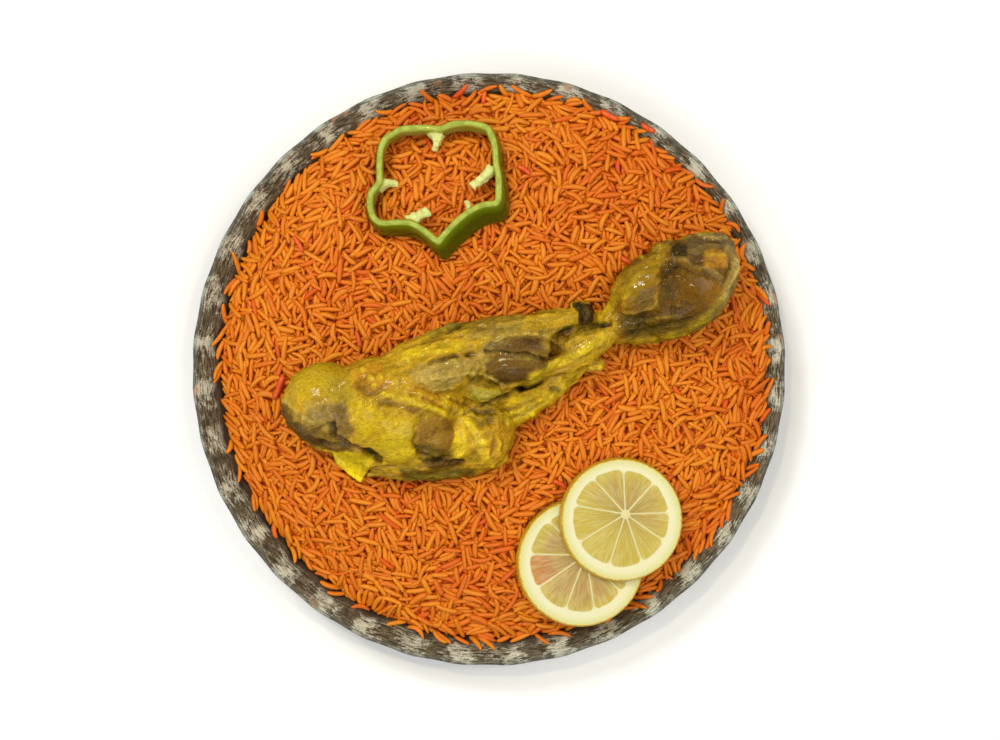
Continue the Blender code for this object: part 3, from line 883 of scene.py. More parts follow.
def makeLemonLook():
    look = Look(
        "lemonFlesh", 0.3, Subsurface_Weight=0.25, Subsurface_Scale=3 * mm, Specular_IOR_Level=0.3,
        Coat_Weight=0.25, Coat_Roughness=0.2,
    )
    pulp, rindShare = look.attribute("pulp"), look.attribute("rind")
    ray = look.attribute("ray", "Vector")
    tanShare, pinkShare = look.attribute("tan"), look.attribute("pink")
    sacs = look.blotch(1000, 0.38, 0.62, 3, ray)
    shade = look.times(look.blotch(5.0, 0.35, 0.65, 2), 0.45)
    amount = look.math("MINIMUM", look.plus(tanShare, look.times(shade, tanShare)), 1.0)
    flesh = look.mix(amount, lemon["juice"], lemon["tan"])
    flesh = look.mix(look.times(pinkShare, 0.65), flesh, lemon["pink"])
    pale = look.mix(0.45, flesh, lemon["membrane"])
    flesh = look.mix(look.times(sacs, 0.75), flesh, pale)
    white = look.mix(look.attribute("outer"), lemon["pith"], lemon["pithGreen"])
    cut = look.mix(pulp, white, flesh)
    cut = look.mix(look.attribute("web"), cut, lemon["membrane"])
    peel = look.mix(look.blotch(2.2, 0.4, 0.65), lemon["rind"], lemon["rindDeep"])
    look.colour(look.mix(rindShare, cut, peel))
    look.roughness(look.between(pulp, 0.5, 0.26))
    pebble = look.times(look.pitted(1.1), rindShare)
    grainy = look.times(look.blotch(1000, 0.3, 0.7, 4, ray), pulp)
    look.bump(look.plus(pebble, look.times(grainy, 1.2)), 0.35, 0.7)
    return look.material


def makeLemon(node, look):
    shape = lemonSlices[node]
    radius, thick = shape["radius"], lemon["thick"]
    top = [(radius - lemon["taper"]) * k / lemon["rings"] for k in range(lemon["rings"] + 1)]
    line = [Vector((r, 0, thick)) for r in top]
    for k in range(1, lemon["sideRings"] + 1):
        share = k / lemon["sideRings"]
        bulge = lemon["rindBulge"] * math.sin(math.pi * share)
        out = radius - lemon["taper"] * (1 - share) + bulge * 0.5
        line.append(Vector((out, 0, thick * (1 - share))))
    under = lemon["underRings"]
    line += [Vector((radius * (1 - k / under), 0, 0)) for k in range(1, under + 1)]
    bm = spun(line, lemon["spokes"], 0.002 * mm)
    piece = pieceFrom(bm, node.replace("slice_", "") + "Cut", [look])
    mesh = piece.data
    cutLemon(mesh, shape)
    axis = Matrix.Rotation(lemon["leanSide"], 3, "Z") @ Vector((0, 1, 0))
    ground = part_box(node)[0][2] + radius * math.sin(lemon["lean"])
    place = Matrix.Translation((*shape["centre"], ground)) @ Matrix.Rotation(lemon["lean"], 4, axis)
    mesh.transform(place)
    mesh.update()
    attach(piece, "root")
    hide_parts(node)
    print(node, "done", len(mesh.polygons))
    return piece


def cutLemon(mesh, shape):
    # works out what every point of a slice belongs to, then sinks and swells the cut face
    points = pointsOf(mesh)
    x, y, z = points.T
    radius = np.hypot(x, y)
    touch = 0.01 * mm
    onTop = z > lemon["thick"] - touch
    fromEdge = shape["radius"] - lemon["taper"] - radius
    hubX, hubY = x - shape["hub"][0], y - shape["hub"][1]
    hubRadius = np.hypot(hubX, hubY)
    around = np.degrees(np.arctan2(hubY, hubX)) % 360
    webs = np.array(sorted(shape["membranes"]), dtype=float)
    number = (np.searchsorted(webs, around) - 1) % len(webs)
    first = webs[number]
    last = webs[(number + 1) % len(webs)]
    span = (last - first) % 360
    share = ((around - first) % 360) / span
    toWeb = hubRadius * np.sin(np.radians(np.minimum(share, 1 - share) * span).clip(0, math.pi / 2))
    deep, long = lemon["wobble"]
    wobble = noiseAt(points, long, shape["seed"]) * deep * mm
    toPith = shape["pulpRadius"] + wobble - np.hypot(x - shape["pulp"][0], y - shape["pulp"][1])
    corner = lemon["cornerSize"]
    # a rounded meeting of the two walls of a segment
    inside = np.minimum(toPith, corner) / corner
    webbed = np.minimum(toWeb, corner) / corner
    room = 1 - np.hypot(1 - inside.clip(0, 1), 1 - webbed.clip(0, 1))
    depthIn = np.where(toPith > 0, room * corner, toPith)
    pulp = softStep(*lemon["wallFade"], depthIn) * softStep(*lemon["hubFade"], hubRadius)
    web = softStep(*lemon["webFade"], toWeb) * softStep(*lemon["webEnd"], toPith)
    web = np.maximum(web * 0.75, softStep(*lemon["hubWeb"], hubRadius)) * 0.8
    keepValues(mesh, "pulp", pulp * onTop)
    keepValues(mesh, "web", web * onTop)
    deep, long = lemon["speckle"]
    edge = softStep(*lemon["peelFade"], fromEdge + noiseAt(points, long, 4) * deep * mm)
    rind = np.where(onTop, edge, softStep(-0.5, 0.8, (lemon["thick"] - z) / mm + 0.6))
    rind[(z < touch) & (radius < shape["radius"] - 1.2 * mm)] = 0
    keepValues(mesh, "rind", rind)
    keepValues(mesh, "outer", softStep(*lemon["greenFade"], fromEdge) * 0.85)
    middle = softStep(0, 0.4, share) * softStep(1, 0.6, share)
    browned = shape["tanShare"] * (0.55 + 0.45 * middle) * softStep(*lemon["tanFade"], toPith)
    # the browner side is the upper right one
    towards = softStep(-9 * mm, 12 * mm, 0.5 * x + 0.86 * y)
    browned *= 1 + shape["tanLean"] * (1.7 * towards - 0.85)
    patch = 0.5 + 0.8 * noiseAt(points, 16 * mm, shape["seed"] + 2)
    keepValues(mesh, "tan", np.clip(browned + patch * 0.35 * shape["tanShare"], 0, 1))
    pink = np.zeros(len(points))
    if shape["pinkSegment"] is not None:
        pink = (number == shape["pinkSegment"]) * softStep(*lemon["pinkFade"], toPith)
    keepValues(mesh, "pink", pink)
    # juice sacs run outward from the hub, so the pattern is long that way and narrow across
    turned, wide = np.radians(around), lemon["sacsAround"]
    outward = hubRadius / lemon["sacLength"] + number * 7
    ray = np.stack((np.cos(turned) * wide, np.sin(turned) * wide, outward), axis=1)
    keepVectors(mesh, "ray", ray)
    sacs = np.array([noise.noise(Vector(r)) for r in ray])
    swell = (0.25 * np.sin(np.pi * share) + 0.16 * sacs) * mm
    z = np.where(onTop, z - lemon["sink"] * pulp + pulp * swell + 0.18 * mm * web, z)
    drop, wide = lemon["rounding"]
    z = np.where(onTop & (radius > 1 * mm), z - drop * softStep(wide, 0, fromEdge), z)
    movePoints(mesh, np.stack((x, y, z), axis=1))


# Pepper ring

pepper = {
    "centre": (-23.8 * mm, 84.3 * mm),
    "wall": 3.2 * mm,
    "tall": 11.5 * mm,
    "flare": (2.4 * mm, -4.8 * mm),  # how far the foot lies from the upper cut on that side
    "flareSide": math.radians(-52),
    "splay": 1.1 * mm,  # and how far it stands out all round
    "lean": (math.radians(-5), math.radians(-3)),
    "cell": 0.42 * mm,
    "softenings": 3,
    "loopSteps": 9,
    "bulge": 0.5 * mm,
    "flarePower": 1.4,  # higher keeps the flare nearer to its side
    "wallUneven": (0.14, 9 * mm),  # share of the wall's thickness, and length
    # round the wall's section: share of its thickness inward, share of its height
    "profile": (
        (0, 0), (0, 0.25), (0, 0.5), (0, 0.75), (0, 0.93), (0.12, 1), (0.5, 1.03), (0.88, 1),
        (1, 0.93), (1, 0.7), (1, 0.4), (1, 0.1), (0.85, 0), (0.15, 0),
    ),
    # the upper cut's outer edge, millimetres from the middle, going round clockwise from the left
    "outline": (
        (-21.7, 24.9), (-16.5, 27.9), (-9.6, 28.4), (-3.3, 28.3), (1.3, 27.8), (6.0, 29.5), (9.4, 30.2),
        (15.2, 30.2), (21.0, 29.2), (24.7, 27.5), (27.0, 23.8), (28.5, 19.1), (29.0, 13.4), (29.3, 9.3),
        (30.2, 5.3), (30.6, 0.7), (30.6, -3.9), (30.1, -8.0), (27.9, -10.3), (22.1, -11.1),
        (16.3, -13.7), (10.6, -18.3), (6.0, -23.0), (1.9, -27.9), (-1.0, -27.0), (-6.7, -22.4),
        (-11.4, -19.5), (-16.5, -18.9), (-24.0, -19.2), (-27.5, -18.3), (-30.4, -15.5), (-32.0, -10.8),
        (-32.2, -6.2), (-31.3, -2.2), (-28.4, 1.3), (-27.8, 3.0), (-27.9, 9.3), (-27.5, 15.1),
        (-26.6, 19.7), (-24.3, 23.5),
    ),
    # ribs: root on the ring, end, width at the root and at the end
    "ribs": (
        ((-0.2, 24.6), (-1.0, 17.1), 4.8, 3.4),
        ((25.6, 8.5), (16.6, -0.5), 3.2, 4.8),
        ((15.2, -13.2), (14.0, -6.5), 2.6, 3.2),
        ((-12.5, -17.5), (-4.1, -10.8), 5.0, 5.8),
        ((-26.1, 1.6), (-18.2, 1.4), 4.4, 3.0),
    ),
    "ribSteps": 9,
    "ribSides": 8,
    "ribRoot": (1.2, 3),  # how much wider the root is, and how soon that ends
    "ribTop": (0.97, 0.38, 1.6),  # share of the ring's height, how much it falls, and how late
    "ribFoot": (0.2, 0.2),  # share of that height at the root, and how much it rises
    "ribWander": 0.5,  # millimetres to each side
    "ribTorn": 0.6 * mm,
    "skin": rgb(60, 78, 4),
    "skinLitTop": rgb(104, 122, 12),
    "cut": rgb(172, 184, 66),
    "cutDeep": rgb(146, 160, 44),
    "inner": rgb(150, 158, 40),
    "rib": rgb(216, 222, 136),
}


def smoothLoop(points, steps):
    # a closed smooth line through the points
    knots = np.array(points)
    back, ahead, beyond = np.roll(knots, 1, 0), np.roll(knots, -1, 0), np.roll(knots, -2, 0)
    rows = []
    for step in range(steps):
        t = step / steps
        rows.append(
            0.5 * (2 * knots + (ahead - back) * t + (2 * back - 5 * knots + 4 * ahead - beyond) * t**2
                   + (3 * knots - back - 3 * ahead + beyond) * t**3)
        )
    return np.stack(rows, axis=1).reshape(-1, 2)


def nearestOn(loop, x, y):
    # which of a line's points is the nearest to each place
    best = np.full(len(x), 1e9)
    which = np.zeros(len(x), dtype=int)
    for k, (px, py) in enumerate(loop):
        away = (x - px) ** 2 + (y - py) ** 2
        closer = away < best
        best[closer] = away[closer]
        which[closer] = k
    return which


def makePepperLook():
    look = Look(
        "greenPepper", 0.3, Subsurface_Weight=0.2, Subsurface_Scale=2 * mm, Coat_Weight=0.2,
        Specular_IOR_Level=0.35,
    )
    skin, rib = look.attribute("skin"), look.attribute("rib")
    cut = look.mix(look.blotch(3.5, 0.4, 0.62, 3), pepper["cut"], pepper["cutDeep"])
    flesh = look.mix(look.attribute("inner"), cut, pepper["inner"])
    flesh = look.mix(rib, flesh, pepper["rib"])
    # painted shade: the peel is lighter at the top and darker towards its foot
    peel = look.mix(look.attribute("low"), pepper["skinLitTop"], pepper["skin"])
    look.colour(look.mix(skin, flesh, peel))
    look.roughness(look.between(skin, 0.42, 0.22))
    fine = look.times(look.blotch(0.9, 0.3, 0.7, 3), look.math("SUBTRACT", 1.0, skin))
    look.bump(fine, 0.2, 0.6)
    return look.material


def makePepper():
    loop = smoothLoop(pepper["outline"], pepper["loopSteps"]) * mm
    tangent = np.roll(loop, -3, 0) - np.roll(loop, 3, 0)
    inward = np.stack((tangent[:, 1], -tangent[:, 0]), axis=1)
    inward /= np.linalg.norm(inward, axis=1, keepdims=True)
    turned = np.arctan2(loop[:, 1], loop[:, 0])
    flare = (0.5 + 0.5 * np.cos(turned - pepper["flareSide"])) ** pepper["flarePower"]
    wall, tall, profile = pepper["wall"], pepper["tall"], pepper["profile"]
    uneven, long = pepper["wallUneven"]
    bm = bmesh.new()
    rows = []
    for (px, py), (nx, ny), out in zip(loop, inward, flare):
        thick = wall * (1 + uneven * noise.noise(Vector((px, py, 0)) / long))
        row = []
        for inset, up in profile:
            drop = (1 - up) * out
            bulge = pepper["bulge"] * math.sin(math.pi * min(max(up, 0), 1)) * (1 - inset)
            inner = inset * thick - (pepper["splay"] * (1 - up) + bulge)
            ax = px + nx * inner + pepper["flare"][0] * drop
            ay = py + ny * inner + pepper["flare"][1] * drop
            row.append(bm.verts.new((ax, ay, up * tall)))
        rows.append(row)
    for row, following in zip(rows, rows[1:] + rows[:1]):
        for k in range(len(profile)):
            n = (k + 1) % len(profile)
            bm.faces.new((row[k], row[n], following[n], following[k]))
    for root, end, wide, wideEnd in pepper["ribs"]:
        addRib(bm, Vector((*root, 0)) * mm, Vector((*end, 0)) * mm, wide * mm, wideEnd * mm)
    bmesh.ops.recalc_face_normals(bm, faces=bm.faces)
    piece = pieceFrom(bm, "pepperCut", [])
    fuseLumps(piece, pepper["cell"], pepper["softenings"])
    mesh = piece.data
    paintPepper(mesh, loop, inward, flare)
    mesh.materials.append(makePepperLook())
    mesh.shade_smooth()
    x, y = pepper["centre"]
    place = Matrix.Translation((x, y, heapAt(x, y) + heap["gap"]))
    place @= Matrix.Rotation(pepper["lean"][0], 4, "X") @ Matrix.Rotation(pepper["lean"][1], 4, "Y")
    mesh.transform(place)
    mesh.update()
    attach(piece, "root")
    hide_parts("pepper_ring")
    print("pepper done", len(mesh.polygons))
    return piece


def addRib(bm, root, end, wide, wideEnd):
    # a pale web from the wall inward, torn and lower at its end
    steps, sides = pepper["ribSteps"], pepper["ribSides"]
    wider, soon = pepper["ribRoot"]
    highest, fall, late = pepper["ribTop"]
    lowest, rise = pepper["ribFoot"]
    along = end - root
    aside = Vector((-along.y, along.x, 0)).normalized()
    tall = pepper["tall"]
    rings = []
    for k in range(steps + 1):
        share = k / steps
        wander = aside * pepper["ribWander"] * mm * math.sin(share * 4 + root.x / mm)
        middle = root + along * share + wander
        half = (wide + (wideEnd - wide) * share) / 2 * (1 + wider * (1 - share) ** soon)
        torn = pepper["ribTorn"] * noise.noise(Vector((k * 0.9, root.x / mm, 3)))
        high = tall * (highest - fall * share**late) + torn
        low = tall * (lowest + rise * share)
        ring = []
        for turn in range(sides):
            angle = math.tau * turn / sides
            over = math.sin(angle) * (high - low) / 2
            uneven = 0.9 + 0.25 * noise.noise(Vector((k, turn * 0.7, root.y / mm)))
            side = math.cos(angle) * half * uneven
            ring.append(bm.verts.new(middle + aside * side + Vector((0, 0, (high + low) / 2 + over))))
        rings.append(ring)
    for ring, following in zip(rings, rings[1:]):
        for k in range(sides):
            n = (k + 1) % sides
            bm.faces.new((ring[k], ring[n], following[n], following[k]))
    bm.faces.new(rings[0])
    bm.faces.new(rings[-1])


def paintPepper(mesh, loop, inward, flare):
    points = pointsOf(mesh)
    normals = normalsOf(mesh)
    x, y, z = points.T
    up = z / pepper["tall"]
    # the wall flares toward its foot, so the outline is compared where the wall has moved to
    which = nearestOn(loop[::2], x, y)
    out = flare[::2][which] * (1 - up).clip(0, 1)
    flatX, flatY = x - pepper["flare"][0] * out, y - pepper["flare"][1] * out
    which = nearestOn(loop, flatX, flatY)
    depth = (flatX - loop[which, 0]) * inward[which, 0] + (flatY - loop[which, 1]) * inward[which, 1]
    depth += pepper["splay"] * (1 - up).clip(0, 1)
    outward = -(normals[:, 0] * inward[which, 0] + normals[:, 1] * inward[which, 1])
    skin = softStep(0.45 * mm, 0.15 * mm, depth) * softStep(-0.1, 0.35, outward)
    skin *= np.maximum(softStep(1.0, 0.965, up), 0.55)
    keepValues(mesh, "skin", skin)
    # how far down the wall a point lies, for the peel's painted shade
    keepValues(mesh, "low", softStep(1.0, 0.55, up))
    inner = softStep(-0.2, -0.6, outward) * softStep(1.5 * mm, 2.2 * mm, depth)
    keepValues(mesh, "inner", inner)
    keepValues(mesh, "rib", softStep(pepper["wall"] - 0.4 * mm, pepper["wall"] + 1.6 * mm, depth))
    ribbed = softStep(pepper["wall"] + 1 * mm, pepper["wall"] + 4 * mm, depth)
    ragged = noiseAt(points, 2.2 * mm, 5) * ribbed
    movePoints(mesh, points + normals * (ragged * 0.45 * mm)[:, None])


# Shank: lumps of muscle and fat, then folds, ridges and colours laid over them in plan

shank = {
    "cell": 0.68 * mm,
    "softenings": 6,
    # x, y and height of the middle over the rice; length, width, thickness; turn in degrees
    "lumps": {
        "roundEnd": ((-75, -15.5, 15), (38.5, 37, 36), 0),
        "roundEndLow": ((-73, -24, 10), (36, 28, 24), -25),
        "thickMiddle": ((-46, -17.5, 17), (72, 47, 40), 8),
        "underRoll": ((-20, -44, 6), (58, 14, 12), 7),
        "belly": ((-36, -31.5, 12), (62, 35, 26), 2),
        "fatLump": ((-40, -31, 18), (27, 25, 24), 30),
        "cutMuscle": ((-24.5, -30, 17), (18, 19, 22), 80),
        "ruffledFat": ((-6, -28, 12), (34, 37, 24), 35),
        "ruffledEdge": ((24, -8.5, 8), (68, 18, 14), 38),
        "underMuscle": ((6, -7, 9), (46, 18, 16), 30),
        "longMuscle": ((-12, 6.5, 17), (94, 28, 30), 15),
        "middleMuscle": ((-20, 0, 25), (37, 23, 22), 14),
        "upperLobe": ((14, 9.5, 26), (31, 11, 15), -3),
        "lowerLobe": ((12, 1, 23), (29, 14, 18), 10),
        "smallMuscle": ((-4, -9, 21), (22, 12, 16), -22),
        "narrowEnd": ((31, 21, 16), (34, 13, 16), 5),
        "tendonThin": ((18, -1, 20), (36, 8, 9), 26),
        "tendonWide": ((42, 9.5, 15), (44, 15, 12), 32),
        "darkBand": ((44, 24.5, 17), (8, 13, 15), 8),
        "neck": ((56, 20.5, 11), (26, 14, 12), 28),
        "knuckleNeck": ((64, 24.5, 13), (28, 20, 18), 42),
        "knuckleSmooth": ((72, 37, 15), (38, 26, 25), 48),
        "knuckleTop": ((92, 49, 13), (32, 23, 22), 12),
        "knuckle": ((88, 37, 14), (54, 41, 30), 33),
        "knuckleEnd": ((102, 46, 13), (26, 34, 25), 10),
        "knuckleLow": ((80, 23.5, 10), (44, 19, 17), 16),
        "gapFloor": ((31, 9, 10), (34, 18, 14), 32),
        # small ones that shape the edge seen from above
        "knuckleCorner": ((105.5, 57, 13), (17, 11, 10), -8),
        "knuckleCrest": ((82, 55, 14), (16, 8, 8), 12),
        "bandTip": ((40.5, 28, 20), (7, 4, 4), 150),
        "strapNub": ((37.5, -2.5, 12), (8, 6, 6), 60),
        "strapFrill": ((49, 2, 10), (10, 5, 5), 20),
        "edgeFrillA": ((27, -13, 9), (9, 6, 6), 40),
        "edgeFrillB": ((14, -21, 9), (10, 7, 6), 30),
    },
    "roughness": 0.7 * mm,  # how uneven each lump is, and over what length
    "roughLength": 7 * mm,
    # thin skin: corners, height over the rice and thickness
    "skins": (
        (
            ((-73, -38.4), (-62, -36), (-57, -37.5), (-52.5, -41.5), (-57.3, -47.9), (-59.9, -52.6),
             (-70.7, -44)),
            3.2, 3.2,
        ),
        (((-57.2, -50), (-53, -45.5), (-45, -43), (-36, -45), (-34, -50), (-43, -49.5)), 1.6, 2.6),
    ),
    "grain": math.radians(27),  # the way the muscle's fibres run
    # relief, heights in millimetres; folds and fibres are stretched along the grain
    "foldHeight": 0.5,
    "foldSize": 5.5 * mm,
    "foldStretch": 2.6,
    "fineHeight": 0.34,
    "fineSize": 2 * mm,
    "fineStretch": 5,
    "lumpHeight": 0.5,
    "lumpSize": 2.6 * mm,
    "broadSize": 9 * mm,
    "warpSizes": (8 * mm, 2 * mm),  # how the marks' outlines wander, coarse and fine
    "wetSize": 10 * mm,
    "wetSlope": (0.45, 0.85),  # share of an upward normal where the sheen begins and is full
    "shine": (0.1, 0.25),  # least, and what the wettest places have more
    # how much each relief darkens its hollows and lightens its crests
    "foldShade": 0.2,
    "fineShade": 0.14,
    "lumpShade": 0.3,
    "broadShade": 0.25,
    "sideShade": (0.73, 0.23),  # a steep side's brightness, and what the top has more
    "shadeLimits": (0.35, 1.45),
    "lineEdge": (0.75, 0.15),  # shares of a line's width where it begins and is full
    "knobEdge": (1.25, 0.3),  # shares of a knob's radius, likewise
    "knobHeight": 0.6,  # share of its radius
    "knobStrength": 0.6,
    # where the surface stays smooth
    "calm": (
        ((-92, -8), (-84, 2), (-66, 3), (-60, -12), (-78, -14)),
        ((-60, -16), (-46, -20), (-34, -23), (-34, -38), (-40, -43), (-52, -40), (-60, -30)),
        ((11, -7), (25, -1), (40, 7), (50, 14), (55, 17), (54, 10), (40, 1), (25, -6)),
        ((86, 29), (86, 43), (105, 43), (106, 30), (96, 24)),
        ((60, 33), (62, 43), (70, 47), (74, 40), (68, 31)),
        ((-73, -38), (-57, -37), (-52, -42), (-60, -52), (-71, -44)),
        ((3, 9), (12, 14), (28, 13), (27, 7), (10, 7)),
        ((-1, 3), (12, 7), (26, 4), (20, -3), (6, -6)),
        ((-32, -22), (-17, -22), (-17, -39), (-32, -38)),
    ),
}

flesh = {
    "gold": rgb(186, 148, 26),
    "yellow": rgb(206, 174, 20),
    # bright yellow fat, also a painted highlight along crests such as the strap's upper side
    "brightAndHighlight": rgb(222, 194, 34),
    "lemon": rgb(248, 220, 30),
    "green": rgb(158, 148, 46),
    "tan": rgb(178, 144, 50),
    "greyTan": rgb(164, 138, 62),
    "orange": rgb(176, 120, 20),
    "amber": rgb(114, 76, 8),
    # brown meat, also painted shadow in creases and under strands
    "brownAndShadow": rgb(118, 78, 14),
    "chunk": rgb(160, 120, 38),
    # olive meat, also painted shade in hollows and on the lower flanks
    "oliveAndShade": rgb(100, 80, 12),
    "purple": rgb(104, 74, 30),
    "plum": rgb(76, 50, 20),
    "grey": rgb(116, 94, 46),
    # dark streaks, also painted shadow in creases, slits and between lobes
    "darkAndShadow": rgb(58, 38, 6),
    # char on the band, also painted shadow in the deepest creases and holes
    "blackAndShadow": rgb(30, 20, 3),
    "pale": rgb(214, 188, 92),
    "stain": rgb(160, 122, 70),  # multiplied with the colour under it
}
